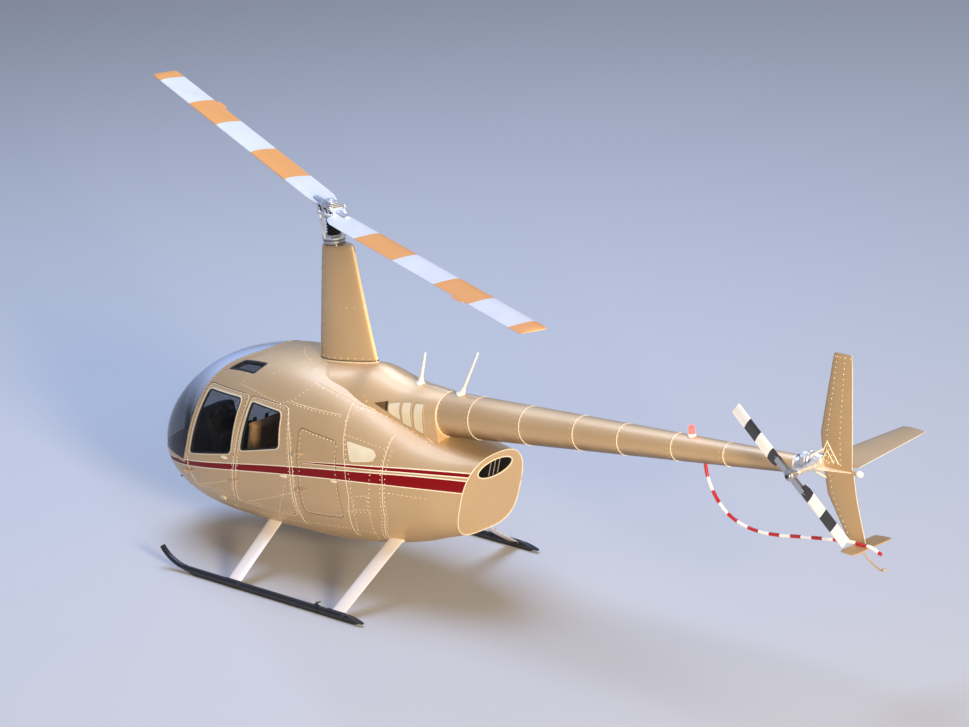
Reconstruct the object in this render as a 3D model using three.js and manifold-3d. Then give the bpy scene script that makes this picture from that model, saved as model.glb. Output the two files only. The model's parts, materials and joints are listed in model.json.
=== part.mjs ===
// A light five-seat helicopter with one turbine, a two-bladed main rotor on a tall mast, a closed
// tail cone with a two-bladed tail rotor on its left side, and skids.
// Millimetres, +X towards the tail, +Y to the right-hand side of the machine, +Z up.
// Places are measured from the ground under the mast; the last lines move the whole model so that
// its origin lies on the ground under the middle of its box.
import * as THREE from 'three';
import { mergeVertices } from 'three/addons/utils/BufferGeometryUtils.js';
import Module from 'manifold-3d';

const wasm = await Module();
wasm.setup();

// Driving sizes
const SEAT_GAP = 0.3;          // what two resting pieces keep between them
const SADDLE_GAP = 1;          // between a leg's foot and the round skid that it stands on
const DOOR_GAP = 5;            // the shut line round a door
const WALL = 34;               // skin, frames and lining of the body together
const GLASS = 6;
const ROTOR_RADIUS = 5030;
const ROTOR_CHORD = 256;
const ROTOR_HEIGHT = 3452;
const ROTOR_HEADING = 157;     // degrees from +X to the first blade
const ROTOR_CONING = 2.5;
const TAIL_ROTOR = { x: 5856, y: -375, z: 2166, radius: 760, chord: 128, heading: 138 };
const SKID_Y = 1140;
const SKID_RADIUS = 32;
const SIDES = [['left', -1], ['right', 1]];

const degrees = THREE.MathUtils.degToRad;
const group = new THREE.Group();

// Materials
const paint = (colour, roughness, metalness) =>
  new THREE.MeshStandardMaterial({ color: colour, roughness, metalness });
const GOLD = paint(0xc9a97c, 0.35, 0.4);
const PALE = paint(0xe9dccb, 0.4, 0.1);
const BLACK = paint(0x1b1c20, 0.6, 0.1);
const STEEL = paint(0xb9bbbe, 0.35, 0.8);
const WHITE = paint(0xe6e8ea, 0.4, 0.1);
const RED = paint(0xb3161d, 0.35, 0);
const TAN = paint(0xb98455, 0.6, 0);
const TINT = new THREE.MeshStandardMaterial({
  color: 0x9fb4c0, roughness: 0.05, transparent: true, opacity: 0.35,
});

// Solids from closed three.js geometries, and back
function solid(geometry) {
  const bare = geometry.clone();
  bare.deleteAttribute('normal');
  bare.deleteAttribute('uv');
  const merged = mergeVertices(bare, 1e-4);
  return new wasm.Manifold(new wasm.Mesh({
    numProp: 3,
    vertProperties: new Float32Array(merged.attributes.position.array),
    triVerts: new Uint32Array(merged.index.array),
  }));
}

function add(name, shape, material, parent = group) {
  const mesh = shape.getMesh();
  const geometry = new THREE.BufferGeometry();
  geometry.setAttribute('position', new THREE.BufferAttribute(new Float32Array(mesh.vertProperties), 3));
  geometry.setIndex(new THREE.BufferAttribute(new Uint32Array(mesh.triVerts), 1));
  const part = new THREE.Mesh(geometry, material);
  part.name = name;
  parent.add(part);
  return part;
}

const joined = (...shapes) => shapes.reduce((sum, next) => sum.add(next));
const largest = (shape) => shape.decompose().sort((a, b) => b.volume() - a.volume())[0];

function box(x0, x1, y0, y1, z0, z1) {
  const geometry = new THREE.BoxGeometry(x1 - x0, y1 - y0, z1 - z0);
  geometry.translate((x0 + x1) / 2, (y0 + y1) / 2, (z0 + z1) / 2);
  return solid(geometry);
}

// A round bar or cone between two points
function rod(from, to, radius, endRadius = radius, sides = 16) {
  const start = new THREE.Vector3(...from);
  const along = new THREE.Vector3(...to).sub(start);
  const geometry = new THREE.CylinderGeometry(endRadius, radius, along.length(), sides);
  geometry.translate(0, along.length() / 2, 0);
  const up = new THREE.Vector3(0, 1, 0);
  geometry.applyQuaternion(new THREE.Quaternion().setFromUnitVectors(up, along.normalize()));
  geometry.translate(...from);
  return solid(geometry);
}

function ball(centre, radius, sides = 16) {
  const geometry = new THREE.SphereGeometry(radius, sides, sides / 2);
  geometry.translate(...centre);
  return solid(geometry);
}

// A bent round tube through the points of a list
function bentTube(points, radius, sides, steps) {
  const path = new THREE.CatmullRomCurve3(points.map((point) => new THREE.Vector3(...point)));
  const section = new THREE.Shape();
  for (let i = 0; i < sides; i += 1) {
    const angle = (i / sides) * 2 * Math.PI;
    const place = [radius * Math.cos(angle), radius * Math.sin(angle)];
    if (i) section.lineTo(...place);
    else section.moveTo(...place);
  }
  return solid(new THREE.ExtrudeGeometry(section, { steps, bevelEnabled: false, extrudePath: path }));
}

// An outline of corners [u, v, radius]; every corner is rounded by its own radius
function outline(corners) {
  const shape = new THREE.Shape();
  corners.forEach(([u, v, radius], i) => {
    const corner = new THREE.Vector2(u, v);
    const before = new THREE.Vector2(...corners.at(i - 1)).sub(corner).normalize().multiplyScalar(radius);
    const after = new THREE.Vector2(...corners[(i + 1) % corners.length]).sub(corner);
    after.normalize().multiplyScalar(radius);
    const start = corner.clone().add(before);
    if (i) shape.lineTo(start.x, start.y);
    else shape.moveTo(start.x, start.y);
    const end = corner.clone().add(after);
    if (radius) shape.quadraticCurveTo(u, v, end.x, end.y);
  });
  return shape;
}

// The same corners moved outwards, or inwards for a negative distance
function grown(corners, distance) {
  const area = corners.reduce((sum, [u, v], i) => {
    const [nextU, nextV] = corners[(i + 1) % corners.length];
    return sum + u * nextV - nextU * v;
  }, 0);
  const edges = corners.map(([u, v], i) => {
    const [nextU, nextV] = corners[(i + 1) % corners.length];
    const along = new THREE.Vector2(nextU - u, nextV - v).normalize();
    const out = new THREE.Vector2(along.y, -along.x).multiplyScalar(distance * Math.sign(area));
    return { start: new THREE.Vector2(u, v).add(out), along };
  });
  return corners.map(([, , radius], i) => {
    const one = edges.at(i - 1);
    const two = edges[i];
    const gap = two.start.clone().sub(one.start);
    const reach = gap.cross(two.along) / one.along.cross(two.along);
    const corner = one.start.clone().addScaledVector(one.along, reach);
    return [corner.x, corner.y, Math.max(radius + distance, 0)];
  });
}

// A straight prism: `axis` is the direction it runs in, from `low` to `high`
function prism(corners, axis, low, high, bow = 2) {
  const geometry = new THREE.ExtrudeGeometry(outline(corners), {
    depth: high - low, bevelEnabled: false, curveSegments: bow,
  });
  geometry.translate(0, 0, low);
  const turn = new THREE.Matrix4();
  const [x, y, z] = [new THREE.Vector3(1, 0, 0), new THREE.Vector3(0, 1, 0), new THREE.Vector3(0, 0, 1)];
  if (axis === 'x') turn.makeBasis(y, z, x);
  if (axis === 'y') turn.makeBasis(x, z, y.clone().negate());
  geometry.applyMatrix4(turn);
  if (axis === 'y') geometry.translate(0, low + high, 0);
  return solid(geometry);
}

// A smooth run through the rows of a table, each column by itself
function smoothRows(rows, steps) {
  const ends = (a, b) => a.map((value, i) => 2 * value - b[i]);
  const padded = [ends(rows[0], rows[1]), ...rows, ends(rows.at(-1), rows.at(-2))];
  const run = [];
  for (let i = 1; i < padded.length - 2; i += 1) {
    for (let k = 0; k < steps; k += 1) {
      const t = k / steps;
      run.push(padded[i].map((p1, c) => {
        const [p0, p2, p3] = [padded[i - 1][c], padded[i + 1][c], padded[i + 2][c]];
        const bend = 2 * p0 - 5 * p1 + 4 * p2 - p3;
        const twist = 3 * p1 - p0 - 3 * p2 + p3;
        return (2 * p1 + (p2 - p0) * t + bend * t * t + twist * t * t * t) / 2;
      }));
    }
  }
  run.push(rows.at(-1));
  return run;
}

// A closed skin over rings of equal numbers of points, with a fan over each end
function skin(rings) {
  const count = rings[0].length;
  const middle = (ring) => ring.reduce((sum, p) => sum.add(p), new THREE.Vector3()).divideScalar(count);
  const points = [...rings.flat(), middle(rings[0]), middle(rings.at(-1))];
  const faces = [];
  for (let j = 0; j < count; j += 1) {
    const next = (j + 1) % count;
    for (let i = 0; i < rings.length - 1; i += 1) {
      const a = i * count;
      faces.push(a + j, a + next, a + count + j, a + next, a + count + next, a + count + j);
    }
    const last = (rings.length - 1) * count;
    faces.push(points.length - 2, next, j, points.length - 1, last + j, last + next);
  }
  const geometry = new THREE.BufferGeometry().setFromPoints(points);
  geometry.setIndex(faces);
  return geometry;
}

// The solid inside such a skin, whichever way round its rings run
function loft(rings) {
  const shape = solid(skin(rings));
  if (shape.volume() > 0) return shape;
  return solid(skin([...rings].reverse()));
}

// Body sections. A row's columns: x of the widest line, its height, top, bottom, half width,
// squareness of the upper and the lower half, and the lean aft for each millimetre of height.
function sectionRings(rows, steps, count) {
  return smoothRows(rows, steps).map(([x, wide, top, bottom, half, upper, lower, lean]) => {
    const ring = [];
    for (let j = 0; j < count; j += 1) {
      const angle = (j / count) * 2 * Math.PI;
      const [c, s] = [Math.cos(angle), Math.sin(angle)];
      const power = 2 / (s >= 0 ? upper : lower);
      const rise = (s >= 0 ? top - wide : wide - bottom) * Math.sign(s) * Math.abs(s) ** power;
      const y = half * Math.sign(c) * Math.abs(c) ** power;
      ring.push(new THREE.Vector3(x + lean * rise, y, wide + rise));
    }
    return ring;
  });
}

// The same skin moved inwards along its own normals
function inset(geometry, distance) {
  const inner = geometry.clone();
  inner.computeVertexNormals();
  const { position, normal } = inner.attributes;
  for (let i = 0; i < position.count; i += 1) {
    const place = new THREE.Vector3().fromBufferAttribute(position, i);
    place.addScaledVector(new THREE.Vector3().fromBufferAttribute(normal, i), -distance);
    position.setXYZ(i, ...place);
  }
  return inner;
}

// Body, from the nose to the slanted end of the tail cowl
const BODY_ROWS = [
  // x, wide, top, bottom, half, upper, lower, lean
  [-2380, 830, 845, 815, 15, 2, 2, 0],
  [-2357, 840, 965, 715, 140, 2, 2, 0],
  [-2280, 865, 1170, 590, 300, 2, 2, 0],
  [-2105, 910, 1420, 470, 465, 2.1, 2.1, 0],
  [-1800, 965, 1675, 378, 600, 2.2, 2.3, 0],
  [-1400, 1010, 1880, 332, 690, 2.3, 2.4, 0],
  [-900, 1050, 2010, 325, 730, 2.3, 2.5, 0],
  [-350, 1080, 2050, 335, 738, 2.3, 2.5, 0],
  [200, 1100, 1980, 355, 725, 2.2, 2.5, 0],
  [750, 1115, 1790, 410, 675, 2.1, 2.4, 0.05],
  [1200, 1110, 1600, 495, 595, 2.1, 2.3, 0.13],
  [1540, 1095, 1520, 600, 500, 2.3, 2.6, 0.22],
  [1830, 1090, 1490, 695, 390, 2.5, 3.4, 0.32],
];
const bodyRings = sectionRings(BODY_ROWS, 1, 24);
const body = solid(skin(bodyRings));
const bluntSkin = skin(bodyRings.slice(1));
const bodyInside = solid(inset(bluntSkin, WALL));
const liningInside = solid(inset(bluntSkin, WALL + SEAT_GAP));
const bodyRoom = solid(inset(skin(bodyRings), -SEAT_GAP));
const bodyWall = body.subtract(bodyInside);
const bodyGlass = body.subtract(solid(inset(bluntSkin, GLASS)));

// Outlines in side view, corners [x, z, radius]. Seams run from the top down.
const FAR = 3000;              // past everything
const WINDSHIELD_EDGE = [[-1698, 885, 0], [-1607, 1059, 60], [-1461, 1473, 70], [-1377, 1689, 70],
  [-1250, 1845, 70], [-1098, 1927, 70], [-880, 2010, 0]];
const WINDSHIELD = [...WINDSHIELD_EDGE, [-880, FAR, 0], [-FAR, FAR, 0], [-FAR, 885, 0]];
const FRONT_DOOR = [[-1322, 1697, 60], [-683, 1712, 50], [-855, 1046, 100], [-960, 640, 60],
  [-1580, 640, 120], [-1640, 880, 60], [-1548, 1090, 60], [-1412, 1460, 60]];
const FRONT_WINDOW = [[-1309, 1654, 50], [-786, 1671, 50], [-892, 1130, 60], [-1559, 991, 50]];
const REAR_DOOR = [[-648, 1712, 50], [-140, 1700, 60], [-85, 1422, 60], [-62, 1156, 100],
  [-75, 640, 110], [-925, 640, 60], [-825, 1046, 100]];
const REAR_WINDOW = [[-636, 1668, 40], [-222, 1644, 50], [-205, 1316, 50], [-751, 1189, 50]];
const CABIN_END = [[-151, 1689, 0], [-60, 1422, 60], [-28, 1156, 60], [-53, 568, 0]];
const BAGGAGE_DOOR = [[40, 1560, 60], [520, 1500, 60], [560, 760, 60], [40, 720, 60]];

// Everything of the side view behind a seam that runs from the top of the list to its end
const behind = (seam, shift = 0) => [
  [seam[0][0] + shift + 150, FAR, 0],
  ...seam.map(([x, z, radius]) => [x + shift, z, radius]),
  [seam.at(-1)[0] + shift, -FAR, 0], [FAR, -FAR, 0], [FAR, FAR, 0],
];
const across = (corners) => prism(corners, 'y', -FAR, FAR);

// A door's plug narrows inwards at its rear edge and away from the height `level` (0 the lower edge,
// 1 the upper edge), so that its edges clear the frame in a swing
const DOOR_LEAN = 0.25;
const DOOR_RISE = 0.15;
const DOOR_PLANE = 735;
function doorPlug(corners, side, level = 1) {
  const points = outline(corners).getPoints(2);
  const [front, rear] = [Math.min(...corners.map(([x]) => x)), Math.max(...corners.map(([x]) => x))];
  const [low, top] = [Math.min(...corners.map(([, z]) => z)), Math.max(...corners.map(([, z]) => z))];
  return loft([900, 300].map((reach) => points.map(({ x, y: z }) => {
    const lean = (DOOR_LEAN * (DOOR_PLANE - reach) * (x - front)) / (rear - front);
    const rise = DOOR_RISE * (DOOR_PLANE - reach) * (level - (z - low) / (top - low));
    return new THREE.Vector3(x - lean, side * reach, z + rise);
  })));
}

const sidePrism = (corners, side) => prism(corners, 'y', side < 0 ? -FAR : 200, side < 0 ? -200 : FAR);

// Outside hinges: x of the pin line at the lowest hinge, how far out it lies, its lean aft for each
// millimetre of height, the heights, how deep the arms go into the wall, and their reach along X
const HINGES = {
  front: {
    x: -1660, out: 662, lean: 0.2568, heights: [780, 940],
    depth: 70, frameArm: [-26, 0], leafArm: [55, 100],
  },
  rear: {
    x: -888, out: 742, lean: 0.2568, heights: [860, 1130],
    depth: 48, frameArm: [-8, 8], leafArm: [26, 70],
  },
  baggage: {
    x: 34, out: 748, lean: 0, heights: [950, 1300],
    depth: 48, frameArm: [-40, 0], leafArm: [22, 80],
  },
};
const KNUCKLE = { radius: 9, length: 14, gap: 0.4, sides: 8 };
const ARM_INSET = 3;           // an arm is thinner than its knuckle by this at either end
const STRAP = { below: 8, above: 6 };
function hinge(place, side) {
  const { x, out, lean, heights, depth, frameArm, leafArm } = HINGES[place];
  const { radius, length, gap, sides } = KNUCKLE;
  const armY = (near, far) => (side < 0 ? [-far, -near] : [near, far]);
  const deep = armY(out - depth, out);
  const [fixed, moving] = [[], []];
  heights.forEach((z) => {
    const pin = x + lean * (z - heights[0]);
    const at = (step) => [pin + lean * step, side * out, z + step];
    const lift = length + gap;
    const leaf = [z + lift + ARM_INSET, z + lift + length - ARM_INSET];
    fixed.push(
      rod(at(0), at(length), radius, radius, sides),
      box(pin + frameArm[0], pin + frameArm[1], ...deep, z + ARM_INSET, z + length - ARM_INSET),
    );
    moving.push(
      rod(at(lift), at(lift + length), radius, radius, sides),
      box(pin + 2, pin + leafArm[1], ...armY(out - STRAP.below, out + STRAP.above), ...leaf),
      box(pin + leafArm[0], pin + leafArm[1], ...deep, ...leaf),
    );
  });
  return { fixed: joined(...fixed), moving: joined(...moving) };
}

// Doors: a leaf cut from the body wall, with its window pane and its half of the hinges
function doorWithWindow(place, word, side, door, window) {
  const leaf = bodyWall.intersect(doorPlug(door, side)).subtract(sidePrism(window, side));
  add(`${place}_door_${word}`, leaf.add(hinge(place, side).moving), GOLD);
  const pane = bodyGlass.intersect(sidePrism(grown(window, -SEAT_GAP), side));
  add(`${place}_window_${word}`, pane, TINT);
}
for (const [word, side] of SIDES) {
  doorWithWindow('front', word, side, FRONT_DOOR, FRONT_WINDOW);
  doorWithWindow('rear', word, side, REAR_DOOR, REAR_WINDOW);
}

// Landing gear: a bent cross tube with streamlined legs, twice, and two skids with shoes. A skid's
// rear end is flattened.
const LEGS = {
  // foot x, foot z, root x, root z, chord at the foot and at the root
  front: { foot: [-535, 60], root: [-622, 500], chord: [170, 176] },
  rear: { foot: [878, 60], root: [970, 585], chord: [170, 176] },
};
const LEG = { rootY: 400, footY: SKID_Y - 8, thickness: 46, taper: 0.3, sides: 14, room: 3 };
const CROSS_TUBE = { radius: 30, below: 35, over: 10 };
const SKID_PATH = [
  // x, z
  [-1514, 208], [-1468, 160], [-1400, 112], [-1300, 72], [-1190, 53], [-1100, 50], [0, 50], [1215, 50],
];
const SKID_SIDES = 10;
const SKID_STEPS = 20;
const SHOE = [[-1200, 35, 0], [-1080, 0, 0], [1110, 0, 0], [1190, 30, 0]];
const SHOE_HALF = 20;
const SKID_TIP = [[985, 84, 0], [1260, 26, 0], [1260, 200, 0], [985, 200, 0]];
const BRACKET = { x: [560, 640], half: 44, z: [28, 92] };
function legSection(x, y, z, chord, thickness) {
  const ring = [];
  for (let j = 0; j < LEG.sides; j += 1) {
    const angle = (j / LEG.sides) * 2 * Math.PI;
    const out = (thickness / 2) * Math.sin(angle) * (1 - LEG.taper * Math.cos(angle));
    ring.push(new THREE.Vector3(x + (chord / 2) * Math.cos(angle), y + out, z));
  }
  return ring;
}
// `spare` widens the legs all round, for the room that is cut for them in the hull
function gearLegs({ foot, root, chord }, spare = 0) {
  const thickness = LEG.thickness + 2 * spare;
  const legs = SIDES.map(([, side]) => solid(skin([
    legSection(foot[0], side * LEG.footY, foot[1], chord[0] + 2 * spare, thickness),
    legSection(root[0], side * LEG.rootY, root[1], chord[1] + 2 * spare, thickness),
  ])));
  const [reach, z] = [LEG.rootY + CROSS_TUBE.over, root[1] - CROSS_TUBE.below];
  return joined(...legs, rod([root[0], -reach, z], [root[0], reach, z], CROSS_TUBE.radius + spare));
}
function skid(side) {
  const y = side * SKID_Y;
  const tube = bentTube(SKID_PATH.map(([x, z]) => [x, y, z]), SKID_RADIUS, SKID_SIDES, SKID_STEPS);
  const flattened = tube.subtract(prism(SKID_TIP, 'y', y - SHOE_HALF * 2, y + SHOE_HALF * 2));
  const shoe = prism(SHOE, 'y', y - SHOE_HALF, y + SHOE_HALF);
  const bracket = box(...BRACKET.x, y - BRACKET.half, y + BRACKET.half, ...BRACKET.z);
  return joined(flattened, shoe, bracket);
}
function skidRoom(side) {
  const [y, z] = [side * SKID_Y, SKID_PATH.at(-1)[1]];
  return rod([-1500, y, z], [1500, y, z], SKID_RADIUS + SADDLE_GAP);
}
for (const [place, sizes] of Object.entries(LEGS)) {
  add(`${place}_gear_legs`, largest(gearLegs(sizes).subtract(skidRoom(-1)).subtract(skidRoom(1))), PALE);
}
for (const [word, side] of SIDES) add(`skid_${word}`, skid(side), BLACK);

// Lower hull and cabin frame with roof and posts
const HULL_TOP = 620;
const HULL_FRONT = -1705;
const HULL_FRONT_TOP = 885;
const SKYLIGHT = [[-1153, 408, 25], [-1016, 331, 25], [-683, 358, 25], [-761, 454, 25]];
const legRoom = joined(...Object.values(LEGS).map((sizes) => gearLegs(sizes, LEG.room)));
const doorRoom = joined(...SIDES.flatMap(([, side]) =>
  [FRONT_DOOR, REAR_DOOR].map((door) => doorPlug(grown(door, DOOR_GAP), side))));
// The space below the windshield and the doors; the frame keeps a seating gap from the hull
function hullSpace(spare) {
  const [front, top] = [HULL_FRONT + spare, HULL_FRONT_TOP - SEAT_GAP + spare];
  return box(-FAR, FAR, -FAR, FAR, -FAR, HULL_TOP + spare)
    .add(across([[-FAR, -FAR, 0], [front, -FAR, 0], [front, top, 0], [-FAR, top, 0]]));
}
function skylightSide(side, spare) {
  return prism(grown(SKYLIGHT, spare).map(([x, y, r]) => [x, side * y, r]), 'z', 1600, FAR);
}
const frontWall = bodyWall.subtract(across(behind(CABIN_END, -SEAT_GAP)));
add('lower_hull', frontWall.intersect(hullSpace(0)).subtract(legRoom), GOLD);
const frame = frontWall.subtract(hullSpace(SEAT_GAP)).subtract(across(grown(WINDSHIELD, SEAT_GAP)))
  .subtract(doorRoom).subtract(skylightSide(-1, 0)).subtract(skylightSide(1, 0));
const frameHinges = SIDES.flatMap(([, side]) => ['front', 'rear'].map((place) => hinge(place, side).fixed));
add('cabin_frame', joined(frame, ...frameHinges), GOLD);
for (const [word, side] of SIDES) {
  add(`skylight_${word}`, bodyGlass.intersect(skylightSide(side, -SEAT_GAP)), TINT);
}

// Windshield in two halves on a middle post
const POST_HALF = 16;
const windshieldBlock = across(WINDSHIELD).intersect(box(-FAR, FAR, -FAR, FAR, HULL_FRONT_TOP, FAR));
const shield = bodyGlass.intersect(windshieldBlock);
for (const [word, side] of SIDES) {
  const half = side < 0 ? [-FAR, -POST_HALF - SEAT_GAP] : [POST_HALF + SEAT_GAP, FAR];
  add(`windshield_${word}`, shield.intersect(box(-FAR, FAR, ...half, -FAR, FAR)), TINT);
}
const postBlock = box(-FAR, FAR, -POST_HALF, POST_HALF, -FAR, FAR);
add('windshield_post', bodyWall.intersect(windshieldBlock).intersect(postBlock), GOLD);

// Upper cowl: a saddle from the mast fairing to the tail cone, with a neck under the fairing
const COWL_ROWS = [
  // x, wide, top, bottom, half, upper, lower, lean
  [-345, 1800, 2010, 1500, 60, 2, 2, 0],
  [-260, 1800, 2018, 1500, 260, 2, 2, 0],
  [0, 1790, 2038, 1450, 400, 1.9, 2, 0],
  [340, 1780, 2064, 1420, 352, 1.6, 2, 0],
  [540, 1770, 2074, 1400, 336, 1.6, 2.2, 0],
  [800, 1765, 2012, 1350, 300, 1.65, 2.5, 0],
  [1000, 1760, 1978, 1300, 268, 1.75, 3, 0],
  [1200, 1755, 1968, 1300, 240, 2, 4, -0.04],
  [1395, 1752, 1960, 1300, 217, 2, 5, -0.0848],
];
const NECK_ROWS = [
  // height, middle x, half chord, half thickness
  [1700, 95, 390, 175], [1960, 94, 378, 150], [2051.7, 93, 370, 130],
];
const NECK_INSIDE_ROWS = [[1650, 95, 360, 145], [1960, 94, 352, 128], [2080, 93, 346, 108]];
const FAIRING_ROWS = [
  [2052, 93, 368, 128], [2300, 82, 326, 122], [2750, 68, 254, 105], [3090, 61, 201, 92],
  [3150, 59, 187, 84],
];
const COWL_WALL = 20;
const FAIRING_WALL = 8;
const FAIRING = { tilt: 0.08, taper: 0.42, sides: 16, hole: 75 };
function fairingRing([z, x, chord, thick]) {
  const ring = [];
  for (let j = 0; j < FAIRING.sides; j += 1) {
    const angle = (j / FAIRING.sides) * 2 * Math.PI;
    const along = chord * Math.cos(angle);
    const out = thick * Math.sin(angle) * (1 - FAIRING.taper * Math.cos(angle));
    ring.push(new THREE.Vector3(x + along, out, z + FAIRING.tilt * along));
  }
  return ring;
}
const fairingSkin = (rows) => solid(skin(rows.map(fairingRing)));
const cowlSkin = skin(sectionRings(COWL_ROWS, 1, 20));
const cowlRoom = solid(inset(cowlSkin, -SEAT_GAP));
const upperCowl = solid(cowlSkin).add(fairingSkin(NECK_ROWS)).subtract(solid(inset(cowlSkin, COWL_WALL)))
  .subtract(fairingSkin(NECK_INSIDE_ROWS)).subtract(bodyRoom);
add('upper_cowl', largest(upperCowl), GOLD);

// Mast fairing, a hollow sleeve that the swashplate's tube comes out of
const fairingRows = smoothRows(FAIRING_ROWS, 1);
const fairingInside = fairingRows.map(([z, x, chord, thick]) =>
  [z - FAIRING_WALL - 1, x, chord - FAIRING_WALL, thick - FAIRING_WALL]);
const fairing = fairingSkin(fairingRows).subtract(fairingSkin(fairingInside))
  .subtract(rod([0, 0, 3000], [0, 0, 3300], FAIRING.hole, FAIRING.hole, 28)).subtract(bodyRoom);
add('mast_fairing', largest(fairing), GOLD);

// Tail cone: a hollow tapered tube, its axis rising aft
const CONE = { x: [1395.6, 5600], z: [1750, 2106], radius: [207, 82], wall: 6, sides: 28 };
function conePlace(x) {
  const t = (x - CONE.x[0]) / (CONE.x[1] - CONE.x[0]);
  return { z: THREE.MathUtils.lerp(...CONE.z, t), radius: THREE.MathUtils.lerp(...CONE.radius, t) };
}
function coneBar(thinner, from, to) {
  const [start, end] = [conePlace(from), conePlace(to)];
  const radii = [start.radius - thinner, end.radius - thinner];
  return rod([from, 0, start.z], [to, 0, end.z], ...radii, CONE.sides);
}
add('tail_cone', coneBar(0, ...CONE.x).subtract(coneBar(CONE.wall, 1380, 5590)), GOLD);

// Bays behind the cabin, split at slanted seams. The body is open under the upper cowl and round the
// mast, and the tail cone's end lies in it.
const SEAM_2 = [[480, 1800, 0], [628, 1294, 100], [656, 997, 100], [549, 530, 0]];
const SEAM_3 = [[1010, 1800, 0], [1062, 1164, 100], [1027, 842, 100], [874, 554, 0]];
const EXHAUST = { z: 1336, wide: 216, high: 86, corners: 20 };
const BAGGAGE_LEVEL = 0.5;
const CONE_REST = 1;
const mastRoom = rod([0, 0, 1500], [0, 0, 2500], 110);
const rearWall = bodyWall.intersect(across(behind(CABIN_END))).subtract(legRoom).subtract(mastRoom)
  .subtract(coneBar(-CONE_REST, 1380, 2000));
function exhaustCorners(spare) {
  return Array.from({ length: EXHAUST.corners }, (_, j) => {
    const angle = (j / EXHAUST.corners) * 2 * Math.PI;
    const [wide, high] = [EXHAUST.wide + spare, EXHAUST.high + spare];
    return [wide * Math.cos(angle), EXHAUST.z + high * Math.sin(angle), 0];
  });
}
const baggageBay = rearWall.subtract(across(behind(SEAM_2, -SEAT_GAP)))
  .subtract(doorPlug(grown(BAGGAGE_DOOR, DOOR_GAP), -1, BAGGAGE_LEVEL));
add('baggage_bay', baggageBay.add(hinge('baggage', -1).fixed), GOLD);
const baggageLeaf = bodyWall.intersect(doorPlug(BAGGAGE_DOOR, -1, BAGGAGE_LEVEL));
add('baggage_door', baggageLeaf.add(hinge('baggage', -1).moving), GOLD);
const engineCowl = rearWall.intersect(across(behind(SEAM_2))).subtract(across(behind(SEAM_3, -SEAT_GAP)));
add('engine_cowl', engineCowl, GOLD);
const exhaustHole = prism(exhaustCorners(0), 'x', 1500, FAR);
add('tail_cowl', rearWall.intersect(across(behind(SEAM_3))).subtract(exhaustHole), GOLD);

// Bulkhead, and the floor with the boxes under the seats
const BULKHEAD = { gap: 1, thick: 18 };
const FLOOR = { x: [-2150, 100], z: [545, 560] };
const SEAT_BOX_TOP = 778;
const SEAT_BOXES = [
  // x from, x to, y from, y to
  [-1400, -960, -530, -90], [-1400, -960, 90, 530], [-660, -300, -590, 590],
];
const bulkheadEnd = BULKHEAD.gap + BULKHEAD.thick;
const bulkhead = across(behind(CABIN_END, BULKHEAD.gap)).subtract(across(behind(CABIN_END, bulkheadEnd)));
add('cabin_bulkhead', bulkhead.intersect(liningInside).subtract(mastRoom), PALE);
const cabinSpace = liningInside.subtract(across(behind(CABIN_END, -2)));
const seatBoxes = SEAT_BOXES.map((sides) => box(...sides, FLOOR.z[1] - 1, SEAT_BOX_TOP));
add('cabin_floor', cabinSpace.intersect(joined(box(...FLOOR.x, -FAR, FAR, ...FLOOR.z), ...seatBoxes)), BLACK);

// Engine as a plain block on its deck, gearbox with arms to the walls, and the exhaust duct
const ENGINE = { x: [700, 1380], y: [-190, 190], z: [780, 1160] };
const DECK = { x: [690, 1500], z: [760, ENGINE.z[0] - SEAT_GAP] };
const GEARBOX = { x: [-78, 170], y: [-125, 125], z: [1560, 1760] };
const GEARBOX_ARMS = { x: [-30, 60], z: [1600, 1650] };
const EXHAUST_RIM = 12;
const DUCT_WALL = 8;
const DUCT_END = 10;
add('engine', box(...ENGINE.x, ...ENGINE.y, ...ENGINE.z), STEEL);
add('engine_deck', liningInside.intersect(box(...DECK.x, -FAR, FAR, ...DECK.z)), STEEL);
const gearboxArms = liningInside.intersect(box(...GEARBOX_ARMS.x, -FAR, FAR, ...GEARBOX_ARMS.z));
add('main_gearbox', box(...GEARBOX.x, ...GEARBOX.y, ...GEARBOX.z).add(gearboxArms), STEEL);
const duct = prism(exhaustCorners(-SEAT_GAP), 'x', ENGINE.x[1] + SEAT_GAP, FAR)
  .intersect(solid(inset(skin(bodyRings), -EXHAUST_RIM)))
  .subtract(prism(exhaustCorners(-DUCT_WALL), 'x', ENGINE.x[1] + DUCT_END, FAR));
add('exhaust_duct', duct, STEEL);

// Aerials on flared feet, one on the cowl's end and one on the cone, and the strobe
const AERIALS = {
  // foot x, foot z, tip x, tip z
  front: [1010, 1976, 1105, 2285],
  rear: [1540, conePlace(1540).z + conePlace(1540).radius + 4, 1796, 2406],
};
const AERIAL_FOOT = { below: 20, above: 34, radius: 38, neck: 15 };
const WHIP = { start: 20, radius: 13, tip: 8 };
const STROBE = { x: 4390, rise: 3, base: [40, 30], height: 22, globe: 36, globeRise: 26 };
function aerial([x, z, tipX, tipZ]) {
  const { below, above, radius, neck } = AERIAL_FOOT;
  return joined(
    rod([x - 4, 0, z - below], [x + 6, 0, z + above], radius, neck, 12),
    rod([x + 4, 0, z + WHIP.start], [tipX, 0, tipZ], WHIP.radius, WHIP.tip, 10),
  ).subtract(cowlRoom).subtract(coneBar(-SEAT_GAP, ...CONE.x));
}
for (const [word, place] of Object.entries(AERIALS)) add(`aerial_${word}`, aerial(place), WHITE);
const strobeFoot = conePlace(STROBE.x);
const strobeZ = strobeFoot.z + strobeFoot.radius + STROBE.rise;
const strobeBase = rod(
  [STROBE.x, 0, strobeZ - 20], [STROBE.x, 0, strobeZ + STROBE.height], ...STROBE.base, 20,
);
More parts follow.
